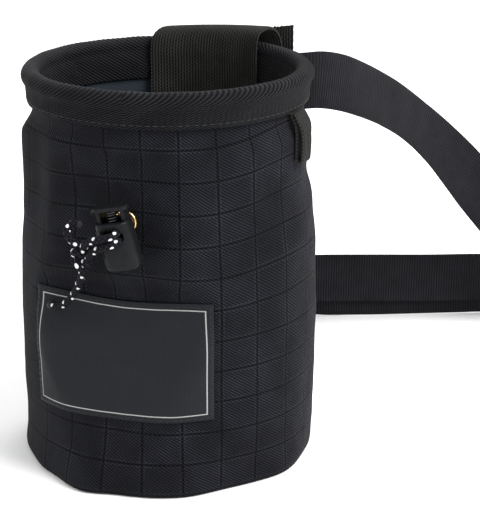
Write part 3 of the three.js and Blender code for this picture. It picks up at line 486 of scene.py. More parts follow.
looks = {
    "heavyWebbing": {"cordGap": 1.25, "pickGap": 1.5, "base": (0.0040, 0.0040, 0.0036, 1),
                     "thread": (0.041, 0.041, 0.039, 1), "depth": 0.00035},
    "beltWebbing": {"cordGap": 1.3, "pickGap": 1.0, "base": (0.0042, 0.0042, 0.0052, 1),
                    "thread": (0.0235, 0.0230, 0.0280, 1), "depth": 0.00022},
    "blackPlastic": {"base": (0.0060, 0.0065, 0.0074, 1), "rubbed": (0.0100, 0.0108, 0.0120, 1),
                     "roughness": 0.34, "grain": 9000.0, "depth": 0.00003},
    "brassRing": {"base": (0.80, 0.52, 0.20, 1), "rubbed": (0.88, 0.66, 0.34, 1),
                  "roughness": 0.25, "grain": 3000.0, "depth": 0.00001, "metallic": 1.0},
    "springSteel": {"base": (0.060, 0.060, 0.063, 1), "rubbed": (0.11, 0.11, 0.115, 1),
                    "roughness": 0.3, "grain": 6000.0, "depth": 0.00001, "metallic": 1.0},
    "meltedCord": {"base": (0.020, 0.020, 0.019, 1), "rubbed": (0.035, 0.035, 0.033, 1),
                   "roughness": 0.5, "grain": 3000.0, "depth": 0.00004},
}
materials = {
    "ripstop": makeRipstop(),
    "rim_twill": makeBindingTwill(),
    "lining": makeLiningCloth(),
    "label": makeLabelSatin(),
    "heavy_webbing": makeWebbing("heavyWebbing", **looks["heavyWebbing"]),
    "belt_webbing": makeWebbing("beltWebbing", **looks["beltWebbing"]),
    "cord": makeBraid(),
    "black_plastic": makeMoulded("blackPlastic", **looks["blackPlastic"]),
    "brass": makeMoulded("brassRing", **looks["brassRing"]),
    "spring_steel": makeMoulded("springSteel", **looks["springSteel"]),
}
threadMaterial = makeThread()
tipMaterial = makeMoulded("meltedCord", **looks["meltedCord"])
print("materials made")

# ---- mesh helpers ----


def deselectAll():
    for one in bpy.context.view_layer.objects:
        one.select_set(False)


def makeActive(piece):
    deselectAll()
    piece.select_set(True)
    bpy.context.view_layer.objects.active = piece


def smoothByAngle(piece, angle=40):
    makeActive(piece)
    bpy.ops.object.shade_smooth_by_angle(angle=radians(angle))


def meshOf(name, points, faces, corners):
    mesh = bpy.data.meshes.new(name)
    mesh.from_pydata([[value * mm for value in point] for point in points], [], faces)
    layer = mesh.uv_layers.new(name="clothMap")
    layer.data.foreach_set("uv", [value for corner in corners for value in corner])
    piece = bpy.data.objects.new(name, mesh)
    bpy.context.scene.collection.objects.link(piece)
    shape = bmesh.new()
    shape.from_mesh(mesh)
    bmesh.ops.remove_doubles(shape, verts=shape.verts, dist=0.00001)
    bmesh.ops.dissolve_degenerate(shape, edges=shape.edges, dist=0.000002)
    if shape.calc_volume(signed=True) < 0:
        bmesh.ops.reverse_faces(shape, faces=shape.faces)
    shape.to_mesh(mesh)
    shape.free()
    return piece


# A wall between two grids of points, side 0 and side 1, as a closed solid
def wallMesh(name, rows, columns, pointAt, mapAt, closed=False):
    points = [pointAt(row, column, side) for row in range(rows) for column in range(columns) for side in (0, 1)]
    around = [[mapAt(row, column) for column in range(columns)] for row in range(rows + 1)]
    faces, corners = [], []

    def quad(*spots):
        faces.append([((row % rows) * columns + column) * 2 + side for row, column, side in spots])
        corners.extend(around[row][column] for row, column, side in spots)

    last = columns - 1
    for row in range(rows if closed else rows - 1):
        for column in range(last):
            quad((row, column, 0), (row + 1, column, 0), (row + 1, column + 1, 0), (row, column + 1, 0))
            quad((row, column, 1), (row, column + 1, 1), (row + 1, column + 1, 1), (row + 1, column, 1))
        quad((row, 0, 0), (row, 0, 1), (row + 1, 0, 1), (row + 1, 0, 0))
        quad((row, last, 0), (row + 1, last, 0), (row + 1, last, 1), (row, last, 1))
    if not closed:
        end = rows - 1
        for column in range(last):
            quad((0, column, 0), (0, column + 1, 0), (0, column + 1, 1), (0, column, 1))
            quad((end, column, 0), (end, column, 1), (end, column + 1, 1), (end, column + 1, 0))
    return meshOf(name, points, faces, corners)


# A point of the curve between points[index] and the next, eased so that it never overshoots
def curvePoint(points, index, share):
    count = len(points)
    a, b = points[index], points[index + 1]
    before = points[index - 1] if index > 0 else a * 2 - b
    after = points[index + 2] if index + 2 < count else b * 2 - a
    gapA, gapB, gapC = (max((q - p).length, 1e-8) ** 0.5 for p, q in ((before, a), (a, b), (b, after)))
    leave = ((a - before) / gapA - (b - before) / (gapA + gapB) + (b - a) / gapB) * gapB
    arrive = ((b - a) / gapB - (after - a) / (gapB + gapC) + (after - b) / gapC) * gapB
    square, cube = share * share, share ** 3
    return (a * (2 * cube - 3 * square + 1) + b * (3 * square - 2 * cube)
            + leave * (cube - 2 * square + share) + arrive * (cube - square))


def smoothPath(rows, step):
    points = [Vector(row) for row in rows]
    fine = [curvePoint(points, index, part / 20) for index in range(len(points) - 1) for part in range(20)]
    fine.append(points[-1])
    lengths = [0.0]
    for first, second in zip(fine, fine[1:]):
        lengths.append(lengths[-1] + (second - first).length)
    count = max(2, round(lengths[-1] / step))
    path, at = [], 0
    for number in range(count + 1):
        wanted = lengths[-1] * number / count
        while at < len(fine) - 2 and lengths[at + 1] < wanted:
            at += 1
        share = (wanted - lengths[at]) / max(lengths[at + 1] - lengths[at], 1e-9)
        path.append(fine[at].lerp(fine[at + 1], min(1.0, max(0.0, share))))
    return path


# A tube along a path; its map is (turns round, millimetres along)
def tubeMesh(name, path, sides, radiusAt, looped=False):
    count = len(path)
    points, lengths = [], [0.0]
    side = None
    for number, centre in enumerate(path):
        before = path[number - 1] if number or looped else centre
        after = path[(number + 1) % count] if number + 1 < count or looped else centre
        tangent = (after - before).normalized()
        if side is None:
            side = tangent.cross(Vector((0, 0, 1)) if abs(tangent.z) < 0.9 else Vector((1, 0, 0)))
        side = (side - tangent * side.dot(tangent)).normalized()
        other = tangent.cross(side)
        if number:
            lengths.append(lengths[-1] + (centre - path[number - 1]).length)
        for step in range(sides):
            turn = 2 * math.pi * step / sides
            radius = radiusAt(step / sides, lengths[-1], number / (count - 1))
            points.append(centre + (side * math.cos(turn) + other * math.sin(turn)) * radius)
    faces, corners = [], []
    for number in range(count if looped else count - 1):
        later = (number + 1) % count
        low = lengths[number]
        high = lengths[number + 1] if number + 1 < count else low + (path[0] - path[-1]).length
        for step in range(sides):
            following = (step + 1) % sides
            first, second = number * sides, later * sides
            faces.append([first + step, first + following, second + following, second + step])
            left, right = step / sides, (step + 1) / sides
            corners += [(left, low), (right, low), (right, high), (left, high)]
    if not looped:
        for number, turned in ((0, True), (count - 1, False)):
            rim = [number * sides + step for step in range(sides)]
            faces.append(rim[::-1] if turned else rim)
            corners += [(0.5, lengths[number])] * sides
    return meshOf(name, points, faces, corners)


def finishPiece(piece, slotName, body, *nodes, material=None, angle=40):
    smoothByAngle(piece, angle)
    piece.data.materials.clear()
    piece.data.materials.append(material or materials[slotName])
    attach(piece, body)
    if nodes:
        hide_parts(*nodes)
    return piece


def cutWith(piece, cutter, operation="DIFFERENCE"):
    makeActive(piece)
    modifier = piece.modifiers.new("cut", "BOOLEAN")
    modifier.operation = operation
    modifier.object = cutter
    modifier.solver = "EXACT"
    bpy.ops.object.modifier_apply(modifier=modifier.name)
    bpy.data.objects.remove(cutter)


def applyPlace(piece, place=None):
    makeActive(piece)
    bpy.ops.object.transform_apply(location=True, rotation=True, scale=True)
    if place is not None:
        piece.data.transform(place)


def addCylinder(name, radius, depth, centre=(0, 0, 0), sides=32, turned=(0, 0, 0)):
    deselectAll()
    bpy.ops.mesh.primitive_cylinder_add(
        vertices=sides, radius=radius * mm, depth=depth * mm, location=Vector(centre) * mm, rotation=turned)
    piece = bpy.context.object
    piece.name = name
    applyPlace(piece)
    return piece


def addBlock(name, low, high):
    deselectAll()
    centre = (Vector(low) + Vector(high)) / 2 * mm
    bpy.ops.mesh.primitive_cube_add(size=1, location=centre, scale=(Vector(high) - Vector(low)) * mm)
    piece = bpy.context.object
    piece.name = name
    applyPlace(piece)
    return piece


def editEdges(piece, test, action):
    makeActive(piece)
    bpy.context.tool_settings.mesh_select_mode = (False, True, False)
    bpy.ops.object.mode_set(mode="EDIT")
    bpy.ops.mesh.select_all(action="DESELECT")
    shape = bmesh.from_edit_mesh(piece.data)
    for edge in shape.edges:
        edge.select_set(test(edge.verts[0].co / mm, edge.verts[1].co / mm))
    bmesh.update_edit_mesh(piece.data)
    action()
    bpy.ops.object.mode_set(mode="OBJECT")


def bevelBy(width, segments):
    return lambda: bpy.ops.mesh.bevel(offset=width * mm, segments=segments, affect="EDGES")


def roundEdges(piece, width, segments=2, angle=35):
    makeActive(piece)
    modifier = piece.modifiers.new("soften", "BEVEL")
    modifier.width = width * mm
    modifier.segments = segments
    modifier.limit_method = "ANGLE"
    modifier.angle_limit = radians(angle)
    modifier.harden_normals = False
    bpy.ops.object.modifier_apply(modifier=modifier.name)


def mix(first, second, share):
    return first + (second - first) * share


def smooth(low, high, value):
    share = min(1.0, max(0.0, (value - low) / (high - low)))
    return share * share * (3 - 2 * share)


def around(angle, radius, z):  # degrees from -Y towards +X
    return Vector((radius * math.sin(radians(angle)), -radius * math.cos(radians(angle)), z))


# ---- drawcord, first because its route is the frame's ----

cordRoutes = {
    "strandUpper": [
        (-2.6, -51.6, 115.2), (-2.4, -54.4, 115.1), (-0.5, -58.2, 114.6), (0.1, -61.8, 114.1), (0.1, -66.0, 113.7),
        (0.0, -69.2, 113.35), (-1.0, -71.2, 112.9), (-3.0, -72.0, 112.3), (-6.0, -72.0, 111.5), (-9.0, -71.2, 110.4),
        (-11.6, -69.8, 109.0), (-13.5, -68.3, 107.1)],
    "strandLower": [
        (-2.6, -51.6, 112.0), (-2.4, -54.4, 111.95), (-0.1, -58.2, 111.4), (0.6, -61.8, 111.0), (0.7, -66.0, 110.55),
        (0.6, -69.0, 110.1), (-0.6, -70.8, 109.6), (-2.6, -71.5, 108.8), (-5.4, -71.3, 107.8), (-8.0, -70.4, 106.4),
        (-10.3, -69.0, 104.6)],
    "throughUpper": [(-14.6, -67.0, 104.4), (-15.6, -66.4, 104.6)],
    "throughLower": [(-12.6, -67.0, 101.0), (-14.6, -65.8, 98.0)],
    "tailShort": [
        (-17.1, -67.0, 107.0), (-19.2, -67.0, 108.9), (-21.0, -66.3, 111.0), (-20.9, -65.0, 113.4),
        (-18.9, -63.9, 114.6), (-16.3, -63.1, 114.3)],
    "tailLong": [
        (-15.6, -65.0, 95.5), (-17.0, -63.0, 92.0), (-19.0, -60.6, 88.4), (-21.2, -58.2, 84.8), (-24.2, -55.6, 80.6),
        (-28.0, -53.4, 77.0), (-32.0, -51.4, 75.0), (-35.8, -49.0, 74.4)],
    "knotCentre": (-14.8, -66.0, 101.5),
}


# The braid's own relief, and the tip that was melted with a flame
def braidRadius(turn, length):
    lengthTurns = length / cord["braidPitch"]
    right = math.cos(2 * math.pi * (turn + lengthTurns) * cord["carriers"])
    left = math.cos(2 * math.pi * (turn - lengthTurns) * cord["carriers"])
    return cord["diameter"] / 2 - 0.10 + 0.10 * max(right, left)


def meltedTip(turn, length, share, whole, reach=2.2):
    left = (1 - share) * whole
    narrowed = mix(0.60, 1.0, smooth(0.0, reach, left))
    return braidRadius(turn, length) * narrowed


def makeKnot():
    centre = Vector(cordRoutes["knotCentre"])
    path = []
    for step in range(90):
        turn = 2 * math.pi * step / 90
        x = math.sin(turn) + 2 * math.sin(2 * turn)
        z = math.cos(turn) - 2 * math.cos(2 * turn)
        y = -math.sin(3 * turn) * 1.25
        path.append(centre + Vector((x, y, z)) * cord["knotSize"])
    return tubeMesh("drawcordKnot", path, 16, lambda turn, length, share: braidRadius(turn, length) * cord["knotFuller"],
                    looped=True)


# The end of a cord, melted to a smooth grey drop
def makeTip(name, path):
    end, before = path[-1], path[-6]
    deselectAll()
    bpy.ops.mesh.primitive_uv_sphere_add(segments=20, ring_count=12, radius=cord["diameter"] * 0.53 * mm)
    tip = bpy.context.object
    tip.name = name
    tip.scale = (1, 1, 1.15)
    applyPlace(tip)
    turned = (end - before).to_track_quat("Z", "Y").to_matrix().to_4x4()
    tip.data.transform(Matrix.Translation((end - (end - before).normalized() * 0.4) * mm) @ turned)
    return finishPiece(tip, "cord", "root", material=tipMaterial)


def makeDrawcords():
    knot = finishPiece(makeKnot(), "cord", "root", "cord_knot")
    routes = {
        "drawcordUpper": ("strandUpper", "throughUpper", "tailShort", ("cord_strand_upper", "cord_tail_short")),
        "drawcordLower": ("strandLower", "throughLower", "tailLong", ("cord_strand_lower", "cord_tail_long")),
    }
    for name, (strand, through, tail, nodes) in routes.items():
        route = cordRoutes[strand] + cordRoutes[through] + cordRoutes[tail]
        path = smoothPath(route, 0.4)
        length = sum((b - a).length for a, b in zip(path, path[1:]))
        piece = tubeMesh(name, path, 18, lambda turn, along, share: meltedTip(turn, along, share, length))
        finishPiece(piece, "cord", "root", *nodes)
        tip = makeTip(name + "Tip", path)
        print(name, "length", round(length, 1), "mm")


makeDrawcords()
print("drawcord made")

# ---- the bag's cloth ----

bag = {
    "height": 166.5, "rimRadius": 60.0, "shellWall": 1.6, "liningWall": 1.0, "liningSlack": 1.2, "clothGap": 0.3,
    "sections": [(0.00, 1.015), (0.10, 1.022), (0.28, 1.026), (0.42, 1.034), (0.54, 1.025), (0.64, 1.000),
                 (0.74, 0.984), (0.88, 0.982), (1.00, 0.950)],
    "baseOutline": [(-90, 1.045), (-55, 1.055), (-38, 1.062), (-17, 1.124), (-3, 1.076), (20, 1.066), (42, 0.996),
                    (66, 1.034), (96, 1.005), (135, 1.050), (180, 1.010), (225, 1.050), (270, 1.045)],
    "baseSpread": 0.14,
    "flatFront": [(0.00, 1.150), (0.19, 0.985), (0.34, 0.880), (0.475, 0.812), (0.505, 0.822), (0.565, 0.905),
                  (0.60, 0.915), (0.66, 0.880), (0.74, 0.875), (0.83, 0.900), (0.90, 0.980)],
    "folds": [(18, 0.845, 24, 0.05, 0.030), (-64, 0.80, 9, 0.16, -0.028), (-47, 0.76, 8, 0.15, 0.026),
              (104, 0.745, 20, 0.05, 0.036), (80, 0.625, 12, 0.05, -0.020), (62, 0.70, 10, 0.06, 0.018),
              (140, 0.42, 20, 0.18, 0.030), (-128, 0.62, 16, 0.20, 0.034), (-150, 0.30, 14, 0.14, 0.026),
              (-84, 0.27, 30, 0.24, -0.026)],
    "puckers": 13, "puckerDepth": 0.005, "puckerReach": 0.07,
}
rollRing = bag["rimRadius"] - binding["rollRadius"]
rollHeight = bag["height"] - binding["rollRadius"]
hemHeight = bag["height"] - binding["depth"]
innerHemHeight = bag["height"] - binding["innerDepth"]
bindingOutside = bag["rimRadius"] - binding["setback"]
shellTopRadius = bindingOutside - binding["wall"] - bag["clothGap"]
liningTopRadius = shellTopRadius - bag["shellWall"] - bag["clothGap"]
bindingInside = liningTopRadius - bag["liningWall"] - bag["clothGap"] - binding["wall"]
channelTop = rollHeight - 1.1 * binding["rollRadius"]
clothTop = channelTop - bag["clothGap"]
ribGap = 2 * math.pi * rollRing / round(2 * math.pi * rollRing / binding["ribGap"])  # a whole number go round
tuckHeight = innerHemHeight - bag["clothGap"] * 2


def fromTable(rows, height):
    if height <= rows[0][0]:
        return rows[0][1]
    for low, high in zip(rows, rows[1:]):
        if height < high[0]:
            return mix(low[1], high[1], smooth(low[0], high[0], height))
    return rows[-1][1]


def angleBetween(first, second):
    return abs((first - second + 180) % 360 - 180)


def shellRadius(angle, z):
    rim = bag["rimRadius"]
    height = z / bag["height"]
    spread = 1 - smooth(0, bag["baseSpread"], height)
    foot = fromTable(bag["baseOutline"], (angle + 90) % 360 - 90)
    full = rim * mix(fromTable(bag["sections"], height), foot, spread)
    off = angleBetween(angle, label["angle"])
    flat = rim * fromTable(bag["flatFront"], height) / math.cos(radians(min(off, 75)))
    near = max(rim * 0.05 - abs(full - flat), 0)
    radius = min(full, flat) - near * near / (4 * rim * 0.05)
    for foldAngle, foldHeight, spread, reach, depth in bag["folds"]:
        across = angleBetween(angle, foldAngle) / spread
        along = (height - foldHeight) / reach
        radius -= rim * depth * math.exp(-across * across - along * along)
    pucker = max(0.0, 1 - height / bag["puckerReach"])
    radius -= rim * bag["puckerDepth"] * pucker * (1 + math.cos(radians(angle * bag["puckers"])))
    tuck = smooth(innerHemHeight - binding["innerDepth"] * 0.5, tuckHeight, z)
    return mix(radius, shellTopRadius, tuck)


# Small creases that come and go over the cloth
def creases(angle, z):
    place = around(angle, 60, z) * 0.045
    broad = noise.noise(place)
    fine = noise.noise(place * 2.6 + Vector((7, 3, 1)))
    fade = smooth(0, 12, z) * (1 - smooth(hemHeight - 8, hemHeight, z))
    return fade * (0.60 * broad + 0.22 * fine)


def clothRadius(angle, z):
    radius = shellRadius(angle, max(z, 2.3)) + creases(angle, z)
    under = max(0.0, 1 - z / 3.0)
    return radius - 1.2 * under * under


# The map follows the cloth: degrees round become millimetres, and the rows lift towards the side loop
def clothSpot(angle, z):
    lift = smooth(30, 75, angle) * smooth(55, 115, z) * 5.0 if angle < 180 else 0.0
    return (angle * bag["rimRadius"] * math.pi / 180 + 9.6, z - lift - 1.4)


def makeShell():
    steps, rings = 240, 118
    heights = [mix(0.25, clothTop, (ring / (rings - 1)) ** 0.97) for ring in range(rings)]
    inner = [max(z, 2.3) for z in heights]

    def pointAt(row, column, side):
        angle = 360 * row / steps - 180
        z = heights[column]
        if side == 0:
            return around(angle, clothRadius(angle, z), z)
        return around(angle, clothRadius(angle, z) - bag["shellWall"], z + (1.2 if z < 2.3 else 0.0))

    def mapAt(row, column):
        return clothSpot(360 * row / steps - 180, heights[column])

    shell = wallMesh("bagShell", steps, rings, pointAt, mapAt, True)
    return shell


def makeLining():
    steps, rings = 200, 52
    heights = [mix(clothTop, 4.0, ring / (rings - 1)) for ring in range(rings)]

    def inset(z):
        slack = bag["liningSlack"] * (1 - smooth(innerHemHeight - binding["innerDepth"], innerHemHeight, z))
        return bag["shellWall"] + bag["clothGap"] + slack

    def pointAt(row, column, side):
        angle = 360 * row / steps
        if column < rings:
            z = heights[column]
            ripple = noise.noise(around(angle, 22, z * 0.35) * 0.16) * smooth(0, 18, hemHeight - z)
            radius = min(shellRadius(angle, z) - inset(z), liningTopRadius) - 0.9 * max(0.0, ripple) - 0.1
            return around(angle, radius - bag["liningWall"] * side, z)
        foot = shellRadius(angle, 4.0) - inset(0) - 1.2
        share = (column - rings) / 6
        return around(angle, foot * (1 - share), 2.5 + side * 1.0)

    def mapAt(row, column):
        along = clothTop - heights[column] if column < rings else 170 + 8 * (column - rings)
        return (360 * row / steps * 0.98, along)

    return wallMesh("bagLining", steps, rings + 7, pointAt, mapAt, True)


# A row of short stitches along a path, each a small rounded bead of thread
def stitchRow(name, spots, length, thick):
    points, faces, corners = [], [], []
    for centre, along, out in spots:
        across = along.cross(out).normalized()
        start = len(points)
        for share, wide in ((-1.0, 0.25), (-0.7, 0.85), (0.0, 1.0), (0.7, 0.85), (1.0, 0.25)):
            middle = centre + along * (share * length / 2) - out * (abs(share) ** 2 * thick * 0.55)
            for turn in range(6):
                angle = 2 * math.pi * turn / 6
                points.append(middle + (across * math.cos(angle) + out * math.sin(angle)) * wide * thick / 2)
        for ring in range(4):
            for turn in range(6):
                following = (turn + 1) % 6
                low, high = start + ring * 6, start + ring * 6 + 6
                faces.append([low + turn, high + turn, high + following, low + following])
                corners += [(0, 0)] * 4
        faces.append([start + turn for turn in range(6)])
        faces.append([start + 24 + turn for turn in range(5, -1, -1)])
        corners += [(0, 0)] * 12
    piece = meshOf(name, points, faces, corners)
    shape = bmesh.new()
    shape.from_mesh(piece.data)
    bmesh.ops.recalc_face_normals(shape, faces=shape.faces)
    shape.to_mesh(piece.data)
    shape.free()
    return piece


# The binding's section: outer skirt, roll and inner skirt, as (radius, height, how far along the tape)
def bindingProfile():
    skirt = ((-0.05, 0.0), (0.20, 0.5), (0.38, 2.0), (0.48, 4.0), (0.62, 6.0), (0.85, 7.4))
    rows = [(bindingOutside + out, hemHeight + up) for out, up in skirt]
    for step in range(19):
        turn = radians(-38 + 233 * step / 18)
        rows.append((rollRing + binding["rollRadius"] * math.cos(turn),
                     rollHeight + binding["rollRadius"] * math.sin(turn)))
    inside = ((0.75, 11.2), (0.35, 9.0), (0.05, 6.0), (-0.10, 3.0), (0.0, 0.0))
    return rows + [(bindingInside + out, innerHemHeight + up) for out, up in inside]


def makeBinding():
    steps = 640
    profile = bindingProfile()
    skirtEnd, insideStart = 6, len(profile) - 5
    # lengths along the tape, and how far its slanting ribs have run round the rim: they climb to the right
    # outside, cross the roll steeply and climb to the left inside
    lengths, runs = [0.0], [0.0]
    for first, second in zip(profile, profile[1:]):
        gap = math.dist(first, second)
        runs.append(runs[-1] + gap * mix(2.4, -1.7, smooth(7, 23, lengths[-1] + gap / 2)))
        lengths.append(lengths[-1] + gap)
    channelOutside, channelInside = bindingOutside - binding["wall"], bindingInside + binding["wall"]

    def pointAt(row, column, side):
        angle = 360 * row / steps
        radius, z = profile[column]
        if side:
            if column < skirtEnd or column >= insideStart:
                wall = channelOutside if column < skirtEnd else channelInside
                return around(angle, wall, min(z, channelTop - 0.4))
            share = (column - skirtEnd) / (insideStart - 1 - skirtEnd)
            return around(angle, mix(channelOutside, channelInside, share), channelTop)
        arc = angle * rollRing * math.pi / 180
        rib = math.cos(2 * math.pi * (arc - runs[column]) / ribGap)
        before, after = profile[max(column - 1, 0)], profile[min(column + 1, len(profile) - 1)]
        across = Vector((after[1] - before[1], before[0] - after[0])).normalized()
        puff = 0.22 * noise.noise(around(angle, 9, z * 0.05))
        lift = 0.11 * rib * smooth(0, 1.2, lengths[column]) + puff
        return around(angle, radius + across.x * lift, z + across.y * lift)

    def mapAt(row, column):
        return (360 * row / steps * rollRing * math.pi / 180 - runs[column], lengths[column])

    return wallMesh("rimBinding", steps, len(profile), pointAt, mapAt, True)


def makeHemStitches():
    spots = []
    count = 116
    for number in range(count):
        angle = 360 * number / count
        out = around(angle, 1, 0)
        spots.append((around(angle, bindingOutside + 0.42, hemHeight + 1.7), around(angle + 90, 1, 0), out))
    return stitchRow("hemStitches", spots, 2.3, 0.42)


def makeBase():
    steps, rings = 96, 12

    def pointAt(row, column, side):
        angle = 360 * row / steps
        share = 1 - column / (rings - 1)
        edge = clothRadius(angle, 0.3) - bag["shellWall"] - 0.35
        lift = 0.35 * (1 - share) ** 0.5 + 0.25 * noise.noise(around(angle, edge * share, 0) * 0.05)
        return around(angle, edge * share, 0.25 + max(0.0, lift) + side * 1.3)

    def mapAt(row, column):
        place = around(360 * row / steps, 58 * (1 - column / (rings - 1)), 0)
        return (place.x, place.y)

    return wallMesh("bagBase", steps, rings, pointAt, mapAt, True)


# ---- eyelet ----

eyelet = {"side": -1.4, "z": 113.6, "outer": 4.8, "bore": 3.45}
eyeletAngle = math.degrees(math.asin(eyelet["side"] / bag["rimRadius"]))


def eyeletSeat():
    out = around(label["angle"], 1, 0)
    spread = eyelet["outer"] / bag["rimRadius"] * 180 / math.pi * 1.25
    shares = (-1, -0.5, 0, 0.5, 1)

    def proudAt(angle, z):
        return around(angle, shellRadius(angle, z), 0).dot(out)

    proud = max(proudAt(eyeletAngle + side * spread, eyelet["z"] + rise * eyelet["outer"])
                for side in shares for rise in shares)
    middle = around(eyeletAngle, shellRadius(eyeletAngle, eyelet["z"]), eyelet["z"])
    return middle + out * (proud + bag["clothGap"] + 0.1 - middle.dot(out))


def eyeletPlace():
    out = around(label["angle"], 1, 0)
    across = around(label["angle"] + 90, 1, 0)
    seat = eyeletSeat() * mm
    up = out.cross(across)
    turned = Matrix((across, up, out)).transposed().to_4x4()
    return Matrix.Translation(seat) @ turned


def makeEyelet(place):
    deselectAll()
    bpy.ops.mesh.primitive_torus_add(
        major_radius=(eyelet["outer"] + eyelet["bore"]) / 2 * mm,
        minor_radius=(eyelet["outer"] - eyelet["bore"]) / 2 * mm, major_segments=56, minor_segments=16)
    ring = bpy.context.object
    ring.name = "drawcordEyelet"
    ring.scale = (1, 1, 1.15)
    ring.location = (0, 0, 0.05 * mm)
    applyPlace(ring)
    barrel = addCylinder("barrel", eyelet["bore"] + 0.55, 2.2, (0, 0, -0.9), 56)
    cutWith(ring, barrel, "UNION")
    cutWith(ring, addCylinder("bore", eyelet["bore"], 9, (0, 0, 0), 56))
    roundEdges(ring, 0.12, 2)
    ring.data.transform(place)
    return ring


def makeCloth():
    shell = makeShell()
    hole = addCylinder("eyeletHole", eyelet["bore"] + 1.0, 14, (0, 0, 0), 32)
    hole.data.transform(eyeletPlace())
    cutWith(shell, hole)
    finishPiece(shell, "ripstop", "root", "shell")
    finishPiece(makeLining(), "lining", "root", "lining")
    finishPiece(makeBinding(), "rim_twill", "root", "rim_binding", angle=60)
    finishPiece(makeHemStitches(), "rim_twill", "root", material=threadMaterial)
    finishPiece(makeBase(), "ripstop", "root", "base_panel")
    finishPiece(makeEyelet(eyeletPlace()), "brass", "root", "eyelet")


makeCloth()
print("bag cloth made")

# ---- label ----


def labelPoint(across, up, out):
    angle = label["angle"] + across / bag["rimRadius"] * 180 / math.pi
    rise = label["rise"] * (0.5 + across / label["width"]) * (0.5 - up / label["height"])
    z = label["bottom"] + label["height"] / 2 + up + rise
    along = min(1.0, max(0.0, 0.5 + across / label["width"]))
    sagging = label["sag"] * math.sin(math.pi * along) * (0.5 + up / label["height"])
    return around(angle, clothRadius(angle, z) + out, z - sagging)


def makeLabel():
    rows, columns = 93, 61

    def spot(row, column):
        across, up = row / (rows - 1) - 0.5, column / (columns - 1) - 0.5
        return (across * label["width"], up * label["height"])

    def pointAt(row, column, side):
        across, up = spot(row, column)
        edge = min(label["width"] / 2 - abs(across), label["height"] / 2 - abs(up))
        quilt = 0.30 + 0.25 * smooth(1.2, 6.0, edge)
        return labelPoint(across, up, quilt + side * label["thick"] * (0.55 + 0.45 * smooth(0, 0.8, edge)))

    return wallMesh("frontLabel", rows, columns, pointAt, lambda row, column: spot(row, column))


def makeLabelStitches():
    wide, high = label["width"] / 2 - 1.3, label["height"] / 2 - 1.3
    corners = [Vector((-wide, -high)), Vector((wide, -high)), Vector((wide, high)), Vector((-wide, high))]
    spots = []
    for first, second in zip(corners, corners[1:] + corners[:1]):
        count = round((second - first).length / 2.7)
        for number in range(count):
            at, later = (first.lerp(second, (number + part) / count) for part in (0.5, 0.7))
            centre, ahead = (labelPoint(place.x, place.y, 1.28) for place in (at, later))
            above = labelPoint(at.x, at.y, 3.0)
            spots.append((centre, (ahead - centre).normalized(), (above - centre).normalized()))
    return stitchRow("labelStitches", spots, 1.9, 0.36)


finishPiece(makeLabel(), "label", "root", "label_patch")
finishPiece(makeLabelStitches(), "label", "root", material=threadMaterial)
print("label made")

# ---- webbing loops ----

loop = {
    "width": 50.0, "thick": 1.6, "angle": 177.0, "drift": 0.09, "tilt": 0.009,
    "shift": 9.2, "outerTop": 0.007, "outerSlant": 0.024, "beltHeight": 0.882,
    "cordGap": 1.25, "pickGap": 1.5, "relief": 0.16,
    "inside": [(0.800, 1.0), (0.870, 1.0), (0.935, 1.0), (0.972, 1.0)],
    "crest": [(-0.075, 0.015, 1.0, 0.010), (-0.030, 0.027, 0.9, 0.035),
              (0.035, 0.027, 0.7, 0.065), (0.085, 0.008, 0.4, 0.085)],
    "outside": [(0.962, 0.0), (0.905, 0.0), (0.820, 0.0), (0.775, 0.05)],
    "foot": [(0.715, 0.7), (0.655, 1.0)],
}
belt = {"width": 25.0, "thick": 1.5, "turn": 17.5, "bar": 3.0, "slot": 5.6, "rim": 3.2}
beltInLoop = bag["rimRadius"] * 0.982 + bag["clothGap"] * 2 + belt["thick"] / 2
loopOutside = beltInLoop + belt["thick"] / 2 + bag["clothGap"] * 2 + loop["thick"] / 2


def footSections(outwards, drift):
    rows = []
    for height, wrap in loop["foot"]:
        z = height * bag["height"]
        rows.append((shellRadius(loop["angle"], z) + 0.6 + loop["thick"] / 2 + outwards, z, wrap, drift))
    return rows


def uprightSections(rows, radius, drift):
    return [(radius, height * bag["height"], wrap, drift) for height, wrap in rows]


def innerPlySections():
    crest = [(rollRing + offset * bag["rimRadius"], bag["height"] * (1 + rise), wrap, drift)
             for offset, rise, wrap, drift in loop["crest"]]
    inside = uprightSections(loop["inside"], bindingInside - bag["clothGap"] - loop["thick"] / 2, 0)
    outside = uprightSections(loop["outside"], loopOutside, loop["drift"])
    return inside + crest + outside + footSections(0, loop["drift"])


def outerPlySections():
    out = loop["thick"] + bag["clothGap"] * 3
    top = (loopOutside + out, bag["height"] * (1 + loop["outerTop"]), 0, 0)
    return [top] + uprightSections(loop["outside"], loopOutside + out, 0) + footSections(out, 0)


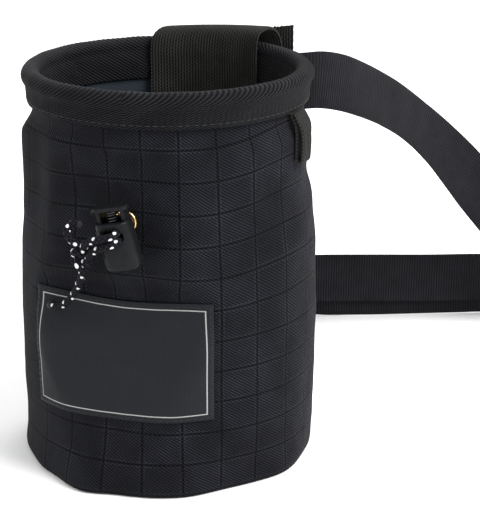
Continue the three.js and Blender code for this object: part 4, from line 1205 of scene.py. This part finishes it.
# Webbing along sections of (radius, height, how far it bends round the bag, drift), with its weave in relief.
# The slant tips it sideways between two heights.
def webbingPiece(name, sections, shift, slant, cutStart):
    step = 0.55
    path = smoothPath(sections, step)
    columns = 96
    slantLow, slantHigh, slantBy = slant

    def along(row):
        before, after = path[max(row - 1, 0)], path[min(row + 1, len(path) - 1)]
        return Vector((after.x - before.x, after.y - before.y)).normalized()

    def pointAt(row, column, side):
        share = mix(-1, 1, column / (columns - 1))
        across = share * loop["width"] / 2
        weave = math.cos(2 * math.pi * across / loop["cordGap"])
        shifted = math.floor(across / loop["cordGap"]) * 0.5
        pick = math.cos(2 * math.pi * (row * step / loop["pickGap"] + shifted))
        body = 1.0 - 0.35 * smooth(0.95, 1.0, abs(share))
        half = (loop["thick"] / 2 - loop["relief"]) * body + loop["relief"] * (0.5 + 0.25 * weave + 0.25 * pick)
        scallop = 0.16 * pick * smooth(0.94, 1.0, abs(share))
        fray = 0.7 * noise.noise(Vector((across * 1.3, 0, 4))) + 0.5 if row == 0 and cutStart else 0.0
        direction = along(row)
        offset = (side * 2 - 1) * half
        radius = path[row].x + direction.y * offset
        reached = min(1.0, max(0.0, (path[row].y - slantLow) / (slantHigh - slantLow)))
        tilt = slantBy * share * bag["height"] * reached
        z = path[row].y - direction.x * offset + fray + tilt
        sideways = across + math.copysign(scallop, share) + shift + path[row].w * bag["rimRadius"]
        flat = Vector((sideways, radius, z))
        bent = around(180 - sideways / radius * 180 / math.pi, radius, z)
        point = flat.lerp(bent, path[row].z)
        point.rotate(Matrix.Rotation(radians(loop["angle"] - 180), 3, "Z"))
        return point

    def mapAt(row, column):
        return (mix(-0.5, 0.5, column / (columns - 1)) * loop["width"], row * step)

    return wallMesh(name, len(path), columns, pointAt, mapAt)


sideTape = {"width": 8.0, "thick": 1.2, "length": 20.0, "slit": 1.2, "angle": 79.0}


def makeSideLoop():
    top = hemHeight - bag["clothGap"]
    near = sideTape["thick"] / 2
    far = near + sideTape["thick"] + sideTape["slit"]
    bend = (far - near) / 2
    bottom = top - sideTape["length"] + bend
    base = max(shellRadius(sideTape["angle"], z) + bag["clothGap"] + 0.2 for z in (top, bottom, (top + bottom) / 2))
    tucked = shellRadius(sideTape["angle"], top) + bag["clothGap"] + 0.2 - base + near
    rows = [(tucked, top, 0), (mix(tucked, near, 0.75), mix(top, bottom, 0.2), 0)]
    rows += [(near, mix(top, bottom, share / 5), 0) for share in range(2, 6)]
    for step in range(1, 8):
        turn = math.pi * step / 8
        rows.append((near + bend - bend * math.cos(turn), bottom - bend * math.sin(turn), 0))
    rows += [(far, bottom, 0), (far, mix(top, bottom, 0.4), 0), (tucked + sideTape["thick"] + 0.5, top, 0)]
    path = smoothPath(rows, 0.6)
    columns = 13
    out, across = around(sideTape["angle"], 1, 0), around(sideTape["angle"] + 90, 1, 0)

    def pointAt(row, column, side):
        before, after = path[max(row - 1, 0)], path[min(row + 1, len(path) - 1)]
        direction = Vector((after.x - before.x, after.y - before.y)).normalized()
        share = mix(-1, 1, column / (columns - 1))
        half = sideTape["thick"] / 2 * (1 - 0.4 * smooth(0.8, 1.0, abs(share)))
        offset = (side * 2 - 1) * half
        point = out * (base + path[row].x + direction.y * offset) + across * (share * sideTape["width"] / 2)
        point.z = path[row].y - direction.x * offset
        return point

    return wallMesh("sideTapeLoop", len(path), columns, pointAt, lambda row, column: (column * 0.66, row * 0.6))


crestSlant = (bag["height"] - 3.0, bag["height"] + 3.0, loop["tilt"])
plySlant = (loop["outside"][0][0] * bag["height"], bag["height"] * (1 + loop["outerTop"]), loop["outerSlant"])
innerPly = webbingPiece("backLoop", innerPlySections(), 0.0, crestSlant, False)
finishPiece(innerPly, "heavy_webbing", "root", "back_loop", angle=60)
outerPly = webbingPiece("backLoopOuterPly", outerPlySections(), loop["shift"], plySlant, True)
finishPiece(outerPly, "heavy_webbing", "root", "back_loop_outer_ply", angle=60)
finishPiece(makeSideLoop(), "heavy_webbing", "root", "side_loop")
print("webbing loops made")

# ---- belt: stations along and away from the bag, height, stand (belt widths) and lean ----

beltRoute = {
    "left": [(0.02, 2.500, 0.000, 0.860, 0), (-0.25, 2.460, 0.020, 0.860, 0), (-0.55, 2.330, 0.120, 0.800, 4),
             (-0.80, 2.100, 0.300, 0.600, 8), (-0.88, 1.800, 0.530, 0.400, 8), (-0.78, 1.480, 0.720, 0.250, 4),
             (-0.50, 1.240, 0.820, 0.150, 0)],
    "right": [(0.998, 0.725, 0.892, 0, 0), (1.110, 0.767, 0.891, 0, 4), (1.270, 0.885, 0.874, 0, 12),
              (1.437, 1.055, 0.842, 0, 19), (1.614, 1.267, 0.799, 0, 24), (1.794, 1.450, 0.749, 0, 25),
              (1.980, 1.633, 0.686, 0, 22), (2.167, 1.783, 0.616, 0, 14), (2.354, 1.900, 0.538, 0, 4),
              (2.523, 1.983, 0.463, 0, -3)],
    "turn": [(2.77, 2.060, 0.345, 0.05, -4), (2.98, 2.140, 0.240, 0.15, 0), (3.13, 2.250, 0.140, 0.34, 4),
             (3.18, 2.380, 0.070, 0.52, 4), (3.10, 2.490, 0.020, 0.70, 2), (2.92, 2.530, 0.000, 0.80, 0),
             (2.62, 2.505, 0.000, 0.83, 0), (2.20, 2.490, 0.000, 0.84, 0), (1.70, 2.485, 0.000, 0.86, 0),
             (1.20, 2.480, 0.000, 0.87, 0)],
    "tail": [(1.20, 2.560, 0.000, 0.530, 0), (1.62, 2.535, 0.000, 0.515, 0), (2.20, 2.550, 0.000, 0.515, 0),
             (2.72, 2.565, 0.000, 0.520, 0)],
    "buckle": (0.36, 2.50, 0.86),
}
alongLine = Vector((math.cos(radians(belt["turn"])), math.sin(radians(belt["turn"])), 0))
awayLine = Vector((-alongLine.y, alongLine.x, 0))


def beltPoint(along, away, z):
    return alongLine * along + awayLine * away + Vector((0, 0, z))


def beltStations():
    rim = bag["rimRadius"]
    along, away, stand = beltRoute["buckle"]
    z = stand * belt["width"]
    wrapOut = belt["bar"] / math.sqrt(2) + 0.45 + belt["thick"] / 2
    barOut = belt["slot"] + belt["bar"]
    middle, off = along * rim, away * rim
    leftBar, rightBar = middle - barOut, middle + barOut

    def turned(bar, side, angle):
        turn = radians(angle)
        return (beltPoint(bar + side * wrapOut * math.cos(turn), off + wrapOut * math.sin(turn), z), 0)

    def fromRow(row):
        return (beltPoint(row[0] * rim, row[1] * rim, row[2] * bag["height"] + row[3] * belt["width"]), row[4])

    rows = [(beltPoint(leftBar - belt["width"] * share, off + wrapOut, z), 0) for share in (0.5, 0.2)]
    rows += [turned(leftBar, 1, 90 - 30 * step) for step in range(7)]
    rows.append((beltPoint(leftBar - belt["width"] * 0.25, off - wrapOut, z), 0))
    rows += [fromRow(row) for row in beltRoute["left"]]
    spin = Matrix.Rotation(radians(loop["angle"] - 180), 3, "Z")
    for side in (-1, -0.5, 0, 0.5, 1):
        rows.append((spin @ Vector((side * loop["width"] / 2, beltInLoop, loop["beltHeight"] * bag["height"])), 0))
    rows += [fromRow(row) for row in beltRoute["right"] + beltRoute["turn"]]
    rows.append((beltPoint(rightBar + belt["width"] * 0.35, off - wrapOut, z), 0))
    rows += [turned(rightBar, -1, -90 + 30 * step) for step in range(7)]
    rows.append((beltPoint(rightBar + belt["width"] * 0.35, off + wrapOut, z), 0))
    return rows + [fromRow(row) for row in beltRoute["tail"]]


def makeBelt():
    stations = beltStations()
    centres = [station[0] for station in stations]
    rows, length = [], 0.0
    for index in range(len(stations) - 1):
        gap = (centres[index + 1] - centres[index]).length
        parts = max(2, round(gap / 1.6))
        for part in range(parts + (1 if index == len(stations) - 2 else 0)):
            share = part / parts
            centre = curvePoint(centres, index, share)
            after = curvePoint(centres, index, min(share + 0.01, 1.0))
            ahead = after - curvePoint(centres, index, max(share - 0.01, 0.0))
            lean = mix(stations[index][1], stations[index + 1][1], share)
            tangent = ahead.normalized()
            up = Vector((0, 0, math.cos(radians(lean)))) + awayLine * math.sin(radians(lean))
            up = (up - tangent * up.dot(tangent)).normalized()
            if rows:
                length += (centre - rows[-1][0]).length
            rows.append((centre, up, tangent.cross(up).normalized(), length))
    print("belt length", round(length, 1), "mm")
    columns = 9
    shares = (-1.0, -0.95, -0.8, -0.4, 0.0, 0.4, 0.8, 0.95, 1.0)

    def pointAt(row, column, side):
        centre, up, out, along = rows[row]
        half = belt["thick"] / 2 * (1.0 - 0.45 * smooth(0.9, 1.0, abs(shares[column])))
        return centre + up * (shares[column] * belt["width"] / 2) + out * ((side * 2 - 1) * half)

    def mapAt(row, column):
        return (rows[min(row, len(rows) - 1)][3], shares[column] * belt["width"] / 2)

    return wallMesh("waistBelt", len(rows), columns, pointAt, mapAt)


def makeBuckle():
    halfLength = belt["slot"] + belt["bar"] * 1.5
    slotHalf = belt["width"] / 2 + 0.6
    halfHeight = slotHalf + belt["rim"]
    halfThick = belt["bar"] / 2
    buckle = addBlock("beltBuckle", (-halfLength, -halfThick, -halfHeight), (halfLength, halfThick, halfHeight))
    editEdges(buckle, lambda a, b: abs(a.y - b.y) > 1, bevelBy(2.6, 4))
    for side in (-1, 1):
        middle = side * (belt["bar"] + belt["slot"]) / 2
        slot = addBlock("slot", (middle - belt["slot"] / 2, -6, -slotHalf), (middle + belt["slot"] / 2, 6, slotHalf))
        cutWith(buckle, slot)
    roundEdges(buckle, 0.45, 3)
    along, away, stand = beltRoute["buckle"]
    place = beltPoint(along * bag["rimRadius"], away * bag["rimRadius"], stand * belt["width"]) * mm
    buckle.data.transform(Matrix.Translation(place) @ Matrix.Rotation(radians(belt["turn"]), 4, "Z"))
    return buckle


finishPiece(makeBelt(), "belt_webbing", "root", "belt")
finishPiece(makeBuckle(), "black_plastic", "root", "belt_buckle", angle=30)
print("belt made")

# ---- cord lock ----

lock = {
    "height": 20.7, "width": 14.8, "depth": 10.8, "wall": 1.25, "gap": 0.3, "plungerDepth": 5.4, "leg": 1.5,
    "capThick": 1.5, "taper": 0.88, "capDepth": 6.2, "capLift": 4.6, "travel": 2.4, "wire": 0.6,
    "place": (1.4, -61.5, 97), "pitch": 6.0, "lean": -11.0,
}
lockTurn = Matrix.Rotation(radians(lock["pitch"]), 4, "X") @ Matrix.Rotation(radians(lock["lean"]), 4, "Y")
lockPlace = Matrix.Translation(Vector(lock["place"]) * mm) @ lockTurn
holeHeight = lock["height"] * 0.745
strandStack = cord["diameter"] + 0.1
cavityHalf = lock["width"] / 2 - lock["wall"]
legOutside = cavityHalf - lock["gap"]
legInside = legOutside - lock["leg"]
bridgeBottom = holeHeight + strandStack + 0.4
bridgeTop = bridgeBottom + 1.1
barTop = holeHeight - strandStack - 0.4
capBottom = lock["height"] + lock["capLift"]


def levelAt(z):
    return lambda a, b: abs(a.z - z) < 0.01 and abs(b.z - z) < 0.01


def makeLockBody():
    wide, deep, high = lock["width"] / 2, lock["depth"] / 2, lock["height"]
    body = addBlock("cordLockBody", (-wide, -deep, 0), (wide, deep, high))
    editEdges(body, lambda a, b: abs(a.z - b.z) > 1, bevelBy(4.2, 8))
    editEdges(body, levelAt(0), bevelBy(3.0, 6))
    editEdges(body, levelAt(high), bevelBy(0.7, 3))
    lug = addBlock("lug", (-wide - 1.0, -1.4, holeHeight - 1.6), (-wide + 0.8, 1.4, holeHeight + 1.8))
    editEdges(lug, lambda a, b: a.x < -wide and b.x < -wide, bevelBy(0.6, 3))
    cutWith(body, lug, "UNION")
    chamber = lock["plungerDepth"] / 2 + lock["gap"]
    above = high + 1
    cutWith(body, addBlock("chamber", (-cavityHalf, -chamber, lock["wall"]), (cavityHalf, chamber, bridgeBottom)))
    legWay = legInside - 0.3
    cutWith(body, addBlock("leftWay", (-cavityHalf, -chamber, bridgeBottom - 0.1), (-legWay, chamber, above)))
    cutWith(body, addBlock("rightWay", (legWay, -chamber, bridgeBottom - 0.1), (cavityHalf, chamber, above)))
    cutWith(body, addBlock("springSeat", (-cavityHalf, -chamber, bridgeTop), (cavityHalf, chamber, above)))
    hole = addCylinder("cordHole", 1.0, lock["depth"] * 1.4, sides=40, turned=(math.pi / 2, 0, 0))
    shaped = Matrix.Diagonal((legInside + 0.45, 1, strandStack + 0.5, 1))
    hole.data.transform(Matrix.Translation((0, 0, holeHeight * mm)) @ shaped)
    cutWith(body, hole)
    roundEdges(body, 0.22, 2)
    for vertex in body.data.vertices:  # the right side leans in towards the top
        if vertex.co.x > 0:
            vertex.co.x *= mix(1.0, lock["taper"], smooth(0.35, 1.0, vertex.co.z / mm / high))
    body.data.transform(lockPlace)
    return body


def makePlunger():
    deep = lock["plungerDepth"] / 2
    capHalf = lock["width"] / 2 - 0.2
    capDeep = lock["capDepth"] / 2
    capTop = capBottom + lock["capThick"]
    cap = addBlock("cordLockPlunger", (-capHalf - 0.3, -capDeep, capBottom), (capHalf, capDeep, capTop))
    editEdges(cap, lambda a, b: abs(a.z - b.z) > 1, bevelBy(2.4, 6))
    barBottom = barTop - 1.7
    for low, high in (
        ((-legOutside, -deep, barBottom), (-legInside, deep, capBottom + 0.5)),
        ((legInside, -deep, barBottom), (legOutside, deep, capBottom + 0.5)),
        ((-legOutside + 0.01, -deep + 0.01, barBottom + 0.01), (legOutside - 0.01, deep - 0.01, barTop)),
    ):
        cutWith(cap, addBlock("bar", low, high), "UNION")
    hook = addBlock("hook", (-capHalf - 0.9, -capDeep + 1.2, capBottom - 0.9),
                    (-capHalf + 0.2, capDeep - 1.2, capBottom + 1.2))
    cutWith(cap, hook, "UNION")
    roundEdges(cap, 0.28, 3)
    cap.data.transform(lockPlace)
    return cap


def makeSpring():
    radius = lock["plungerDepth"] / 2 - lock["wire"] / 2
    low = bridgeTop + 0.2 + lock["wire"] / 2
    high = capBottom - 0.2 - lock["wire"] / 2
    turns = 4.2
    path = []
    for step in range(int(turns * 36) + 1):
        share = step / int(turns * 36)
        turn = 2 * math.pi * turns * share
        rise = smooth(0.06, 0.94, share) * 0.35 + share * 0.65
        path.append(Vector((radius * math.cos(turn), radius * math.sin(turn), mix(low, high, rise))))
    spring = tubeMesh("lockSpring", path, 8, lambda turn, length, share: lock["wire"] / 2)
    spring.data.transform(lockPlace)
    return spring


finishPiece(makeLockBody(), "black_plastic", "root", "cord_lock_body", angle=30)
finishPiece(makePlunger(), "black_plastic", "plunger", "cord_lock_plunger", angle=30)
spring = finishPiece(makeSpring(), "spring_steel", "root", "lock_spring")
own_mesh(spring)
print("cord lock made")

# ---- floor ----


def makeFloorPlane():
    deselectAll()
    bpy.ops.mesh.primitive_plane_add(size=6, location=(0, 0, -0.0002))
    floor = bpy.context.object
    floor.name = "floorPlane"
    applyPlace(floor)
    floor.data.materials.append(makeFloor())


makeFloorPlane()

print("scene ready")
